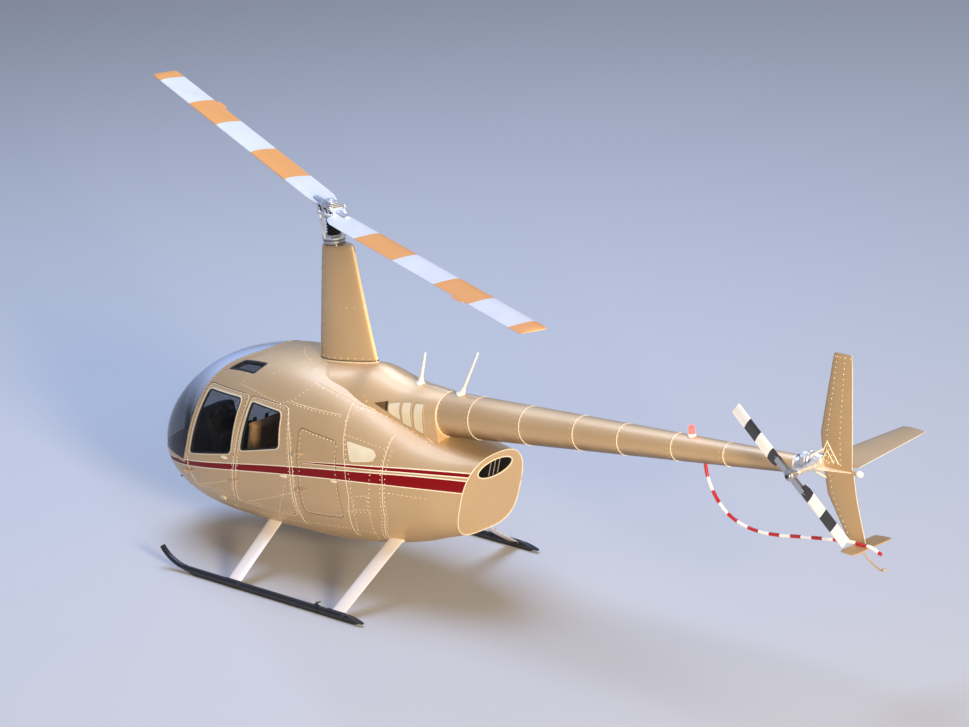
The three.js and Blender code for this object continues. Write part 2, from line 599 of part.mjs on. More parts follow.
const strobeGlobe = ball([STROBE.x, 0, strobeZ + STROBE.globeRise], STROBE.globe, 12);
add('strobe_light', joined(strobeBase, strobeGlobe).subtract(coneBar(-SEAT_GAP, 4000, 5000)), RED);

// Fins, stabilizer and end plate. A wing's thickness follows its chord from a round nose.
const CHORD_STATIONS = [0, 0.03, 0.12, 0.3, 0.6, 1];
const EDGE_HALF = 0.8;
function wingSection(chord, thickness) {
  const half = (t) => {
    const curve = 0.2969 * Math.sqrt(t) - 0.126 * t - 0.3516 * t * t + 0.2843 * t ** 3 - 0.1015 * t ** 4;
    return Math.max(5 * thickness * curve, t ? EDGE_HALF : 0);
  };
  const upper = CHORD_STATIONS.map((t) => [t * chord, half(t)]);
  const lower = CHORD_STATIONS.slice(1).reverse().map((t) => [t * chord, -half(t)]);
  return [...upper, ...lower];
}
// A wing through stations of nose, tail, span and thickness; `place` turns them into a point
function wing(stations, place) {
  return loft(stations.map(([nose, tail, span, thickness]) =>
    wingSection(tail - nose, thickness).map(([along, out]) => place(nose + along, out, span))));
}
const upright = (x, y, z) => new THREE.Vector3(x, y, z);
const FIN_SPLIT = 2165;
const UPPER_FIN = [
  [5898, 6217, FIN_SPLIT + SEAT_GAP, 46], [5888, 6236, 2450, 46], [6078, 6281, 3190, 26],
];
const LOWER_FIN = [[5900, 6229, FIN_SPLIT, 46], [5930, 6252, 1910, 46], [6136, 6327, 1530, 34]];
const FIN_ROOM = [[5896, 6240, 2100, 46.6], [5886, 6240, 2300, 46.6]];
const STABILIZER = [[5828, 6272, 12, 50], [5902, 6150, 1040, 34]];
const STABILIZER_Z = 2192;
const END_PLATE = [[6238, -228, 20], [6408, -248, 25], [6408, 248, 25], [6238, 228, 20]];
const END_PLATE_Z = [1517.7, 1529.7];
const { x: TX, y: TY, z: TZ } = TAIL_ROTOR;
const TAIL_BLOCK = { x: [5680, 5916], y: [-120, 26], half: 78 };
function tailBlock(spare) {
  const { x, y, half } = TAIL_BLOCK;
  return box(x[0], x[1] + spare, y[0], y[1] + spare, TZ - half - spare, TZ + half + spare);
}
const tailBlockRoom = tailBlock(SEAT_GAP);
add('upper_fin', wing(UPPER_FIN, upright).subtract(tailBlockRoom), GOLD);
add('lower_fin', wing(LOWER_FIN, upright).subtract(tailBlockRoom), GOLD);
const stabilizer = wing(STABILIZER, (x, out, y) => new THREE.Vector3(x, y, STABILIZER_Z + out));
add('stabilizer', stabilizer.subtract(wing(FIN_ROOM, upright)).subtract(tailBlockRoom), GOLD);
add('fin_end_plate', prism(END_PLATE, 'z', ...END_PLATE_Z), GOLD);
add('tail_light', rod([6233.4, 0, 2140], [6264, 0, 2140], 16, 12, 12), WHITE);

// Tail skid: a bent bar from under the end plate to a ball
const TAIL_SKID_PATH = [[6262, 0, 1502], [6280, 0, 1460], [6380, 0, 1380], [6470, 0, 1335], [6515, 0, 1343]];
const TAIL_SKID_TOP = END_PLATE_Z[0] - SEAT_GAP;
add('tail_skid', joined(
  rod([6262, 0, TAIL_SKID_TOP], [6262, 0, 1490], 14, 12, 12),
  bentTube(TAIL_SKID_PATH, 9, 8, 12),
  ball([6518, 0, 1343], 17, 10),
), STEEL);

// Tail rotor guard: one bent tube from under the cone to beside the lower fin
const GUARD_Y = -52;
const GUARD_RADIUS = 12;
const GUARD_PATH = [
  [4538, -8, 1915], [4553, -10, 1800], [4593, -15, 1705], [4677, -22, 1588], [4786, -28, 1497],
  [4930, -33, 1440], [5127, -38, 1412], [5357, -42, 1425], [5700, -46, 1478], [6040, GUARD_Y, 1528],
  [6200, GUARD_Y, 1546], [6320, GUARD_Y, 1543], [6430, GUARD_Y, 1542], [6545, GUARD_Y, 1498],
];
const guard = bentTube(GUARD_PATH, GUARD_RADIUS, 8, 40).subtract(coneBar(-SEAT_GAP, 4400, 4800));
add('tail_rotor_guard', guard, PALE);

// Tail gearbox with its output housing, and the tail rotor on its left side
const INPUT_HOUSING = { x: [CONE.x[1] + 0.4, 5690.4], z: [CONE.z[1], 2113.6], radii: [78, 66] };
const TAIL_HUB = { shaft: 20, shaftEnd: 40, disc: 46, discHalf: 26, rest: 0.5 };
const TAIL_HOUSING_END = TY + 78;
const TAIL_BLADE = { root: 150, thickness: 15, noseShare: 0.3, rod: 16, rodEnd: 200 };
add('tail_gearbox', joined(
  rod([INPUT_HOUSING.x[0], 0, INPUT_HOUSING.z[0]], [INPUT_HOUSING.x[1], 0, INPUT_HOUSING.z[1]],
    ...INPUT_HOUSING.radii, 20),
  tailBlock(0),
  rod([TX, TAIL_BLOCK.y[0], TZ], [TX, TAIL_HOUSING_END, TZ], 44, 34, 20),
), STEEL);
add('tail_rotor_hub', joined(
  rod([TX, TAIL_HOUSING_END - TAIL_HUB.rest, TZ], [TX, TY - TAIL_HUB.shaftEnd, TZ], TAIL_HUB.shaft),
  rod([TX, TY + TAIL_HUB.discHalf, TZ], [TX, TY - TAIL_HUB.discHalf, TZ], TAIL_HUB.disc, TAIL_HUB.disc, 20),
), STEEL);
for (const [word, turn] of [['a', 0], ['b', 180]]) {
  const radial = degrees(TAIL_ROTOR.heading + turn);
  const [c, s] = [Math.cos(radial), Math.sin(radial)];
  const at = (along, thick, span) =>
    new THREE.Vector3(TX + c * span - s * along, TY + thick, TZ + s * span + c * along);
  const nose = -TAIL_ROTOR.chord * TAIL_BLADE.noseShare;
  const stations = [TAIL_BLADE.root, TAIL_ROTOR.radius].map((span) =>
    [nose, nose + TAIL_ROTOR.chord, span, TAIL_BLADE.thickness]);
  const ends = [at(0, 0, TAIL_HUB.disc + SEAT_GAP), at(0, 0, TAIL_BLADE.rodEnd)];
  const bar = rod(...ends.map((end) => end.toArray()), TAIL_BLADE.rod, TAIL_BLADE.rod, 12);
  add(`tail_blade_${word}`, joined(wing(stations, at), bar), WHITE);
}

// Rotor mast and swashplate: a fixed ring on the mast's sleeve, and a turning ring with two links
const MAST_RADIUS = 42;
const HUB_HALF = 45;
const LOWER_RINGS = [
  // inner radius, outer radius, heights
  [MAST_RADIUS + 6, FAIRING.hole - SEAT_GAP, 3120, 3180], [MAST_RADIUS + 6, 100, 3166, 3196],
];
const UPPER_RING = [MAST_RADIUS + 0.5, 112, 3202, 3238];
const LINK = { from: [60, -86, 3230], to: [120, -112, ROTOR_HEIGHT - 60], radius: 9 };
const mastEnds = [GEARBOX.z[1] + 0.5, ROTOR_HEIGHT - HUB_HALF - SEAT_GAP];
const [mastFoot, mastTop] = mastEnds.map((z) => [0, 0, z]);
add('rotor_mast', rod(mastFoot, mastTop, MAST_RADIUS, MAST_RADIUS, 24), STEEL);
function ringSolid(inner, outer, z0, z1) {
  const hole = rod([0, 0, z0 - 5], [0, 0, z1 + 5], inner, inner, 28);
  return rod([0, 0, z0], [0, 0, z1], outer, outer, 28).subtract(hole);
}
add('swashplate_lower', joined(...LOWER_RINGS.map((sizes) => ringSolid(...sizes))), STEEL);

const rotorTurn = new THREE.Matrix4().makeRotationZ(degrees(ROTOR_HEADING));
const rotorPoint = (x, y, z) => new THREE.Vector3(x, y, z).applyMatrix4(rotorTurn);
const links = [1, -1].map((turn) => {
  const ends = [LINK.from, LINK.to].map(([x, y, z]) => rotorPoint(turn * x, turn * y, z).toArray());
  return rod(...ends, LINK.radius, LINK.radius, 10);
});
add('swashplate_upper', joined(ringSolid(...UPPER_RING), ...links), STEEL);

// Teetering hub, and the two blades with their grips and pitch arms, coned upwards
const HUB_BLOCK = [330, 96, 84];
const HUB_CAP = { rise: 66, radii: [52, 40] };
const GRIP = { from: 167.3, to: 420, radii: [44, 36] };
const PITCH_ARM = { from: [190, -10, -8], to: [190, -130, -14], radii: [16, 12] };
const NOSE = -ROTOR_CHORD * 0.25;
const BLADE_STATIONS = [
  // nose, tail, span, thickness
  [-40, 130, 300, 46], [NOSE, NOSE + ROTOR_CHORD, 560, 32], [NOSE, NOSE + ROTOR_CHORD, ROTOR_RADIUS, 28],
];
const hubBlock = new THREE.BoxGeometry(...HUB_BLOCK);
hubBlock.translate(0, 0, ROTOR_HEIGHT);
hubBlock.applyMatrix4(rotorTurn);
add('rotor_hub', joined(
  solid(hubBlock),
  rod([0, 0, ROTOR_HEIGHT - HUB_HALF], [0, 0, ROTOR_HEIGHT + HUB_CAP.rise], ...HUB_CAP.radii, 24),
), STEEL);
const coning = degrees(ROTOR_CONING);
function bladePoint(turn, along, sideways, up) {
  const r = along * Math.cos(coning) - up * Math.sin(coning);
  const height = ROTOR_HEIGHT + along * Math.sin(coning) + up * Math.cos(coning);
  return rotorPoint(turn * r, turn * sideways, height);
}
for (const [word, turn] of [['a', 1], ['b', -1]]) {
  const bar = (from, to, radii, sides) =>
    rod(bladePoint(turn, ...from).toArray(), bladePoint(turn, ...to).toArray(), ...radii, sides);
  add(`main_blade_${word}`, joined(
    bar([GRIP.from, 0, 0], [GRIP.to, 0, 0], GRIP.radii, 20),
    bar(PITCH_ARM.from, PITCH_ARM.to, PITCH_ARM.radii, 10),
    wing(BLADE_STATIONS, (chordwise, thick, span) => bladePoint(turn, span, -chordwise, thick)),
  ), WHITE);
}

// Seats, from their side view: cushion, raked back and rounded top
const SEAT_FOOT = SEAT_BOX_TOP + SEAT_GAP;
const SEATS = {
  // x of the front edge, middle y, half width, cushion depth, top of the back
  front_seat_left: [-1400, -310, 220, 420, 1420],
  front_seat_right: [-1400, 310, 220, 420, 1420],
  rear_seat: [-660, 0, 560, 380, 1400],
};
for (const [name, [x, y, half, depth, top]] of Object.entries(SEATS)) {
  const end = x + depth;
  add(name, prism([
    [x, SEAT_FOOT, 0], [end, SEAT_FOOT, 0], [end + 120, 800, 20], [end + 205, top, 40],
    [end + 115, top, 40], [end - 10, 925, 30], [x, 925, 35],
  ], 'y', y - half, y + half), TAN);
}

// Instrument console on the floor, and the stick with its bar and two handles
const CONSOLE_FOOT = FLOOR.z[1] + SEAT_GAP;
const CONSOLE = [
  [-2050, CONSOLE_FOOT, 0], [-1780, CONSOLE_FOOT, 0], [-1780, 860, 20], [-1850, 1230, 40], [-2050, 1180, 40],
];
const CONSOLE_HALF = 190;
const PEDESTAL = { x: [-1781, -1500], half: 80, top: 800 };
const STICK = { foot: [-1560, 0, PEDESTAL.top + 4 + SEAT_GAP], top: [-1480, 0, 1080], radii: [14, 12] };
const STICK_BAR = { x: -1480, z: 1075, half: 340, radius: 12 };
const HANDLE = { y: 330, top: [-1480, 1080], foot: [-1485, 980], radii: [16, 14] };
add('instrument_console', joined(
  prism(CONSOLE, 'y', -CONSOLE_HALF, CONSOLE_HALF),
  box(...PEDESTAL.x, -PEDESTAL.half, PEDESTAL.half, CONSOLE_FOOT, PEDESTAL.top),
), BLACK);
const barEnds = [-1, 1].map((sign) => [STICK_BAR.x, sign * STICK_BAR.half, STICK_BAR.z]);
const handles = [-1, 1].map((sign) => {
  const ends = [HANDLE.top, HANDLE.foot].map(([x, z]) => [x, sign * HANDLE.y, z]);
  return rod(...ends, ...HANDLE.radii, 12);
});
add('cyclic_stick', joined(
  rod(STICK.foot, STICK.top, ...STICK.radii, 12),
  rod(...barEnds, STICK_BAR.radius, STICK_BAR.radius, 12),
  ...handles,
), BLACK);

// The origin goes to the ground under the middle of the whole box
group.updateMatrixWorld(true);
const bounds = new THREE.Box3().setFromObject(group, true);
const middle = bounds.getCenter(new THREE.Vector3());
group.position.set(-middle.x, -middle.y, -bounds.min.z);
group.updateMatrixWorld(true);

export default group;
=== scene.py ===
import json
import math

import bmesh
import bpy
import numpy as np
from mathutils import Matrix, Vector
from mathutils.bvhtree import BVHTree


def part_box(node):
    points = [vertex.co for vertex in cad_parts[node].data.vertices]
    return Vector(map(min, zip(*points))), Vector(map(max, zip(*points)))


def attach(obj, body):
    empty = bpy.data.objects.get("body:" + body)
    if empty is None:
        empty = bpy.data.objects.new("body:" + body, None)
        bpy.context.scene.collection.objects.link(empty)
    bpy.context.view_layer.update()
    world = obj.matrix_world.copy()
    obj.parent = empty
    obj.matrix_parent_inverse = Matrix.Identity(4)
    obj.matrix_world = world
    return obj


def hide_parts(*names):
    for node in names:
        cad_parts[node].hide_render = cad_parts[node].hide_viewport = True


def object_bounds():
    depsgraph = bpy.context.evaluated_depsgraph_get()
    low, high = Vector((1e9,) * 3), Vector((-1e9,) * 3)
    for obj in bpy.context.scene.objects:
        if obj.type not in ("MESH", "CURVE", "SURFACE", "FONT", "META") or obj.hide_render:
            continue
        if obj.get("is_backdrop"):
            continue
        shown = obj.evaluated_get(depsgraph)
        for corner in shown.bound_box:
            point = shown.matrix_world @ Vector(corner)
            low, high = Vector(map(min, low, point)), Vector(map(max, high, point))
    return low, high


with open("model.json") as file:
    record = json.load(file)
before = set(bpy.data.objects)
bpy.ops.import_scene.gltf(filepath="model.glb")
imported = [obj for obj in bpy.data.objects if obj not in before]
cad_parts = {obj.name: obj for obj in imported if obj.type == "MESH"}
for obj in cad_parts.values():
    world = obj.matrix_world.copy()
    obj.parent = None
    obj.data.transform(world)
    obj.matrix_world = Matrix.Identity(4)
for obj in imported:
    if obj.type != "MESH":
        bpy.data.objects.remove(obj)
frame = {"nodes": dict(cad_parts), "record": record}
cad_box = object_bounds()
mast_low, mast_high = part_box("rotor_mast")
MAST_X = (mast_low[0] + mast_high[0]) / 2
scene = bpy.context.scene


# The camera stands where the photograph was taken from, level with the rotor's tips and behind the
# machine's left side. Azimuth, elevation, roll, place and focal length were fitted to the photograph.
CAMERA_AZIMUTH = math.radians(46.314)
CAMERA_ELEVATION = math.radians(18.1135)
CAMERA_ROLL = math.radians(-4.2591)
CAMERA_PLACE = (31.2195, -28.0324, 15.5960)
FOCAL_PIXELS = 4753.37
PHOTO_WIDTH = 969
SENSOR = 36.0


def shifted(points):
    points = np.array(points, float)
    points[..., 0] += MAST_X
    return points


camera = bpy.data.objects.new("camera", bpy.data.cameras.new("camera"))
camera.data.sensor_width = SENSOR
camera.data.lens = FOCAL_PIXELS / PHOTO_WIDTH * SENSOR
camera.data.clip_end = 400
level = math.cos(CAMERA_ELEVATION)
sweep = (math.sin(CAMERA_AZIMUTH) * level, -math.cos(CAMERA_AZIMUTH) * level)
back = Vector((*sweep, math.sin(CAMERA_ELEVATION)))
right = Vector((0, 0, 1)).cross(back).normalized()
up = back.cross(right)
turn = Matrix((right, up, back)).transposed() @ Matrix.Rotation(CAMERA_ROLL, 3, "Z")
camera.matrix_world = Matrix.Translation(shifted(CAMERA_PLACE)) @ turn.to_4x4()
scene.collection.objects.link(camera)
scene.camera = camera


# The studio is a wide pale floor under a pale surround. A large low warm lamp behind the camera
# gives the gold paint its glow, and a cool one overhead the paler roof.
FLOOR_SIZE = 160
LAMPS = [
    # name, place, size, watts, colour
    ("key", (29.0, -13.5, 9.2), 6, 15600, (1.0, 0.84, 0.59)),
    ("sky", (-6, 2, 22), 16, 6900, (0.48, 0.63, 1.0)),
]
SURROUND = (0.56, 0.68, 1.0)
SURROUND_STRENGTH = 0.27


class Wire:
    """One socket of a finish; arithmetic on it adds Math nodes."""

    def __init__(self, finish, socket):
        self.finish = finish
        self.socket = socket

    def math(self, operation, *values):
        node = self.finish.add("ShaderNodeMath", {"operation": operation}, dict(enumerate(values)))
        return Wire(self.finish, node.outputs[0])

    def __add__(self, other):
        return self.math("ADD", self, other)

    def __mul__(self, other):
        return self.math("MULTIPLY", self, other)

    def __sub__(self, other):
        return self.math("SUBTRACT", self, other)

    def __rsub__(self, other):
        return self.math("SUBTRACT", other, self)

    def __truediv__(self, other):
        return self.math("DIVIDE", self, other)

    def __pow__(self, other):
        return self.math("POWER", self, other)

    def __mod__(self, other):
        return self.math("FLOORED_MODULO", self, other)

    def __lt__(self, other):
        return self.math("LESS_THAN", self, other)

    def __gt__(self, other):
        return self.math("GREATER_THAN", self, other)

    def __abs__(self):
        return self.math("ABSOLUTE", self)

    __radd__ = __add__
    __rmul__ = __mul__


SLOT_OF = {}


class Finish:
    """A material for one slot of the record, and the few calls that build its nodes."""

    def __init__(self, name, slot="body_paint"):
        self.material = bpy.data.materials.new(name)
        SLOT_OF[self.material.name] = slot
        self.material.use_nodes = True
        self.tree = self.material.node_tree
        self.shader = self.tree.nodes["Principled BSDF"]

    def add(self, kind, settings, inputs):
        node = self.tree.nodes.new(kind)
        for key, value in settings.items():
            if key == "stops":
                for stop, (place, shade) in zip(node.color_ramp.elements, value):
                    stop.position = place
                    stop.color = shade
            else:
                setattr(node, key, value)
        for key, value in inputs.items():
            self.feed(node.inputs[key], value)
        return node

    def feed(self, socket, value):
        if isinstance(value, Wire):
            self.tree.links.new(value.socket, socket)
        else:
            socket.default_value = value

    def set(self, **values):
        for key, value in values.items():
            self.feed(self.shader.inputs[key.replace("_", " ")], value)
        return self.material

    def place(self):
        """The wires x (from the mast), y and z of the point on the piece at rest."""
        found = self.add("ShaderNodeTexCoord", {}, {})
        split = self.add("ShaderNodeSeparateXYZ", {}, {0: Wire(self, found.outputs["Object"])})
        x, y, z = (Wire(self, socket) for socket in split.outputs)
        return x - MAST_X, y, z

    def mix(self, factor, first, second):
        node = self.add("ShaderNodeMix", {"data_type": "RGBA"}, {0: factor, 6: first, 7: second})
        return Wire(self, node.outputs[2])

    def noise(self, scale, detail=2.0, roughness=0.5):
        found = self.add("ShaderNodeTexCoord", {}, {})
        node = self.add("ShaderNodeTexNoise", {}, {
            "Vector": Wire(self, found.outputs["Object"]), "Scale": scale, "Detail": detail,
            "Roughness": roughness,
        })
        return Wire(self, node.outputs["Fac"])

    def bump(self, height, strength, distance):
        node = self.add("ShaderNodeBump", {}, {
            "Height": height, "Strength": strength, "Distance": distance,
        })
        self.tree.links.new(node.outputs["Normal"], self.shader.inputs["Normal"])


floor_finish = Finish("studio_floor")
floor_finish.set(Base_Color=(0.54, 0.51, 0.475, 1), Roughness=0.85)
bpy.ops.mesh.primitive_plane_add(size=FLOOR_SIZE)
floor = bpy.context.object
floor.name = "studio_floor"
floor.data.materials.append(floor_finish.material)
floor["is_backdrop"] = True

for name, place, size, watts, colour in LAMPS:
    lamp = bpy.data.lights.new(name, "AREA")
    lamp.size = size
    lamp.energy = watts
    lamp.color = colour
    holder = bpy.data.objects.new(name, lamp)
    holder.location = place
    holder.rotation_euler = (Vector((0, 0, 1.5)) - Vector(place)).to_track_quat("-Z", "Y").to_euler()
    scene.collection.objects.link(holder)
scene.world = bpy.data.worlds.new("surround")
scene.world.use_nodes = True
scene.world.node_tree.nodes["Background"].inputs[0].default_value = (*SURROUND, 1)
scene.world.node_tree.nodes["Background"].inputs[1].default_value = SURROUND_STRENGTH
scene.view_settings.view_transform = "Standard"


# The cabin and engine body is riveted aluminium and glass-fibre skin, an egg that narrows to a
# slanted flat tail. Its sections are superellipses; panels are cut from one wall, as in the frame.
BODY_ROWS = [
    # x of the widest line, its height, top, bottom, half width, squareness above and below, lean
    (-2.380, 0.830, 0.845, 0.815, 0.015, 2, 2, 0),
    (-2.357, 0.840, 0.965, 0.715, 0.140, 2, 2, 0),
    (-2.280, 0.865, 1.170, 0.590, 0.300, 2, 2, 0),
    (-2.105, 0.910, 1.420, 0.470, 0.465, 2.1, 2.1, 0),
    (-1.800, 0.965, 1.675, 0.378, 0.600, 2.2, 2.3, 0),
    (-1.400, 1.010, 1.880, 0.332, 0.690, 2.3, 2.4, 0),
    (-0.900, 1.050, 2.010, 0.325, 0.730, 2.3, 2.5, 0),
    (-0.350, 1.080, 2.050, 0.335, 0.738, 2.3, 2.5, 0),
    (0.200, 1.100, 1.980, 0.355, 0.725, 2.2, 2.5, 0),
    (0.750, 1.115, 1.790, 0.410, 0.675, 2.1, 2.4, 0.05),
    (1.200, 1.110, 1.600, 0.495, 0.595, 2.1, 2.3, 0.13),
    (1.540, 1.095, 1.520, 0.600, 0.500, 2.3, 2.6, 0.22),
    (1.830, 1.090, 1.490, 0.695, 0.390, 2.5, 3.4, 0.32),
]
BODY_STEPS = 7
BODY_COUNT = 96
WALL = 0.034
PANE = 0.006
SEAT_GAP = 0.0003
FAR = 3.0
SIDES = (("left", -1), ("right", 1))


def smooth_rows(rows, steps):
    """A smooth run through the rows of a table, each column by itself."""
    rows = np.array(rows, float)
    padded = np.vstack([2 * rows[0] - rows[1], rows, 2 * rows[-1] - rows[-2]])
    run = []
    for i in range(1, len(padded) - 2):
        p0, p1, p2, p3 = padded[i - 1:i + 3]
        for k in range(steps):
            t = k / steps
            bend = 2 * p0 - 5 * p1 + 4 * p2 - p3
            twist = 3 * p1 - p0 - 3 * p2 + p3
            run.append((2 * p1 + (p2 - p0) * t + bend * t ** 2 + twist * t ** 3) / 2)
    run.append(rows[-1])
    return np.array(run)


def section_points(row, angle):
    x, wide, top, bottom, half, upper, lower, lean = row
    c, s = np.cos(angle), np.sin(angle)
    power = np.where(s >= 0, 2 / upper, 2 / lower)
    rise = np.where(s >= 0, top - wide, wide - bottom) * np.sign(s) * np.abs(s) ** power
    y = half * np.sign(c) * np.abs(c) ** power
    return np.stack([x + lean * rise, y, wide + rise], axis=-1)


def angles(count):
    return np.arange(count) / count * 2 * np.pi


def section_rings(rows, steps, count):
    return [section_points(row, angles(count)) for row in smooth_rows(rows, steps)]


def skinned(rings):
    """A closed skin over rings, with a fan over each end."""
    count = len(rings[0])
    points = np.vstack([*rings, np.mean(rings[0], axis=0), np.mean(rings[-1], axis=0)])
    faces = []
    last = (len(rings) - 1) * count
    for j in range(count):
        k = (j + 1) % count
        for i in range(len(rings) - 1):
            a = i * count
            faces.append((a + j, a + k, a + count + k, a + count + j))
        faces.append((len(points) - 2, k, j))
        faces.append((len(points) - 1, last + j, last + k))
    return plain_mesh(points, faces)


def outward(mesh):
    """Turns the faces of a closed mesh outwards."""
    work = bmesh.new()
    work.from_mesh(mesh)
    bmesh.ops.recalc_face_normals(work, faces=work.faces)
    work.to_mesh(mesh)
    work.free()
    return mesh


def plain_mesh(points, faces):
    mesh = bpy.data.meshes.new("made")
    mesh.from_pydata(shifted(points).tolist(), [], [tuple(map(int, face)) for face in faces])
    return outward(mesh)


def inset(mesh, distance):
    """A copy of the mesh moved inwards along its normals."""
    inner = mesh.copy()
    places = np.empty(len(mesh.vertices) * 3)
    normals = np.empty(len(mesh.vertices) * 3)
    mesh.vertices.foreach_get("co", places)
    mesh.vertex_normals.foreach_get("vector", normals)
    inner.vertices.foreach_set("co", places - distance * normals)
    inner.update()
    return inner


def carved(mesh, *cuts):
    """The mesh after a run of booleans: pairs of an operation and a tool mesh."""
    base = bpy.data.objects.new("carving", mesh)
    scene.collection.objects.link(base)
    tools = []
    for operation, tool in cuts:
        holder = bpy.data.objects.new("tool", tool)
        scene.collection.objects.link(holder)
        tools.append(holder)
        step = base.modifiers.new("cut", "BOOLEAN")
        step.operation = operation
        step.solver = "MANIFOLD"
        step.object = holder
    graph = bpy.context.evaluated_depsgraph_get()
    result = bpy.data.meshes.new_from_object(base.evaluated_get(graph))
    for holder in [base, *tools]:
        bpy.data.objects.remove(holder)
    return result


def less(*tools):
    return [("DIFFERENCE", tool) for tool in tools]


def within(*tools):
    return [("INTERSECT", tool) for tool in tools]


def plus(*tools):
    return [("UNION", tool) for tool in tools]


def rounded(corners, bow=8):
    """The points of an outline whose corners are rounded by their own radii."""
    corners = np.array(corners, float)
    run = []
    for i, (u, v, radius) in enumerate(corners):
        corner = np.array([u, v])
        if not radius:
            run.append(corner)
            continue
        before = corners[i - 1][:2] - corner
        after = corners[(i + 1) % len(corners)][:2] - corner
        start = corner + before / np.linalg.norm(before) * radius
        end = corner + after / np.linalg.norm(after) * radius
        for k in range(bow + 1):
            t = k / bow
            run.append((1 - t) ** 2 * start + 2 * t * (1 - t) * corner + t ** 2 * end)
    return np.array(run)


def grown(corners, distance):
    """The same corners moved outwards, or inwards for a negative distance."""
    corners = np.array(corners, float)
    places = corners[:, :2]
    following = np.roll(places, -1, axis=0)
    area = np.sum(places[:, 0] * following[:, 1] - following[:, 0] * places[:, 1])
    along = following - places
    along /= np.linalg.norm(along, axis=1)[:, None]
    start = places + np.stack([along[:, 1], -along[:, 0]], axis=1) * distance * np.sign(area)
    run = []
    for i, (_, _, radius) in enumerate(corners):
        gap = start[i] - start[i - 1]
        cross = along[i - 1][0] * along[i][1] - along[i - 1][1] * along[i][0]
        reach = (gap[0] * along[i][1] - gap[1] * along[i][0]) / cross
        run.append((*(start[i - 1] + along[i - 1] * reach), max(radius + distance, 0)))
    return run


def prism(corners, axis, low, high):
    """A bar along an axis, from an outline over the other two axes in their own order."""
    flat = rounded(corners)
    return skinned([np.insert(flat, "xyz".index(axis), end, axis=1) for end in (low, high)])


def block(x, y, z):
    """A box from pairs of ends."""
    rings = [[(end, y[i], z[k]) for i, k in ((0, 0), (1, 0), (1, 1), (0, 1))] for end in x]
    return skinned(np.array(rings))


def across(corners):
    return prism(corners, "y", -FAR, FAR)


def behind(seam, shift=0.0):
    """The side view behind a seam, which is a list from its top to its lower end."""
    moved = [(x + shift, z, radius) for x, z, radius in seam]
    return [(moved[0][0] + 0.15, FAR, 0), *moved, (moved[-1][0], -FAR, 0), (FAR, -FAR, 0), (FAR, FAR, 0)]


def show(name, mesh, finish, body="airframe", replaces=None, slot=None, crease=28):
    """Puts a finished mesh in the scene as a piece that rides on a body."""
    mesh.materials.clear()
    mesh.materials.append(finish)
    mesh.polygons.foreach_set("material_index", np.zeros(len(mesh.polygons), int))
    mesh.shade_smooth()
    mesh.set_sharp_from_angle(angle=math.radians(crease))
    piece = bpy.data.objects.new(name, mesh)
    scene.collection.objects.link(piece)
    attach(piece, body)
    slot or SLOT_OF[finish.name]
    if replaces:
        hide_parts(replaces)
    return piece


def surface_of(mesh):
    """A search tree over a mesh, for finding places on it."""
    corners = [corner.co.copy() for corner in mesh.vertices]
    return BVHTree.FromPolygons(corners, [tuple(face.vertices) for face in mesh.polygons])


body_rings = section_rings(BODY_ROWS, BODY_STEPS, BODY_COUNT)
body_solid = skinned(body_rings)
body_surface = surface_of(body_solid)
blunt_body = skinned(body_rings[BODY_STEPS:])
body_wall = carved(body_solid, *less(inset(blunt_body, WALL)))
glass_wall = carved(body_solid, *less(inset(blunt_body, PANE)))


# The paint is champagne metallic under clear coat. A dark red stripe with an ivory edge rises along
# each side from the nose, under a second fine line, and both end at the tail's flat face.
STRIPE_MIDDLE = [
    (-1.980, 0.808), (-1.400, 0.913), (-0.900, 0.999), (-0.450, 1.074), (-0.045, 1.133),
    (0.500, 1.192), (1.000, 1.230), (1.243, 1.242), (1.550, 1.249), (1.820, 1.247),
]
STRIPE_HALF = [(-2.2, 0.016), (-1.4, 0.030), (-0.045, 0.037), (1.243, 0.042), (1.820, 0.057)]
UPPER_LINE = [
    (0.100, 1.240), (0.500, 1.286), (0.900, 1.315), (1.243, 1.334), (1.600, 1.347), (1.820, 1.351),
]
UPPER_LINE_HALF = [(0.100, 0.003), (0.500, 0.009), (0.900, 0.012), (1.243, 0.0135), (1.820, 0.014)]
UPPER_LINE_START = 0.10
IVORY_EDGE = 0.009
FINE_EDGE = 0.002
TAIL_FACE = {"x": 1.830, "z": 1.090, "lean": 0.32, "edge": 0.004}
GOLD = (0.65, 0.45, 0.245, 1)
GOLD_DEEP = (0.58, 0.385, 0.195, 1)
PAINT_METALLIC = 0.45
IVORY = (0.90, 0.80, 0.60, 1)
STRIPE_RED = (0.20, 0.002, 0.003, 1)
PAINT_COAT = 0.35


def curve_of(wire, points, degree):
    """A polynomial in `wire` through measured points."""
    factors = [float(factor) for factor in np.polyfit(*np.array(points).T, degree)]
    total = wire * factors[0] + factors[1]
    for factor in factors[2:]:
        total = total * wire + factor
    return total


def sprayed(finish, colour):
    """The orange peel and the soft coat that all the gold paint has."""
    finish.bump(finish.noise(900.0, 1.0), 0.08, 0.0004)
    return finish.set(
        Base_Color=colour, Roughness=finish.noise(5.0, 3.0) * 0.10 + 0.44, Coat_Roughness=0.2,
        Specular_IOR_Level=0.2,
    )


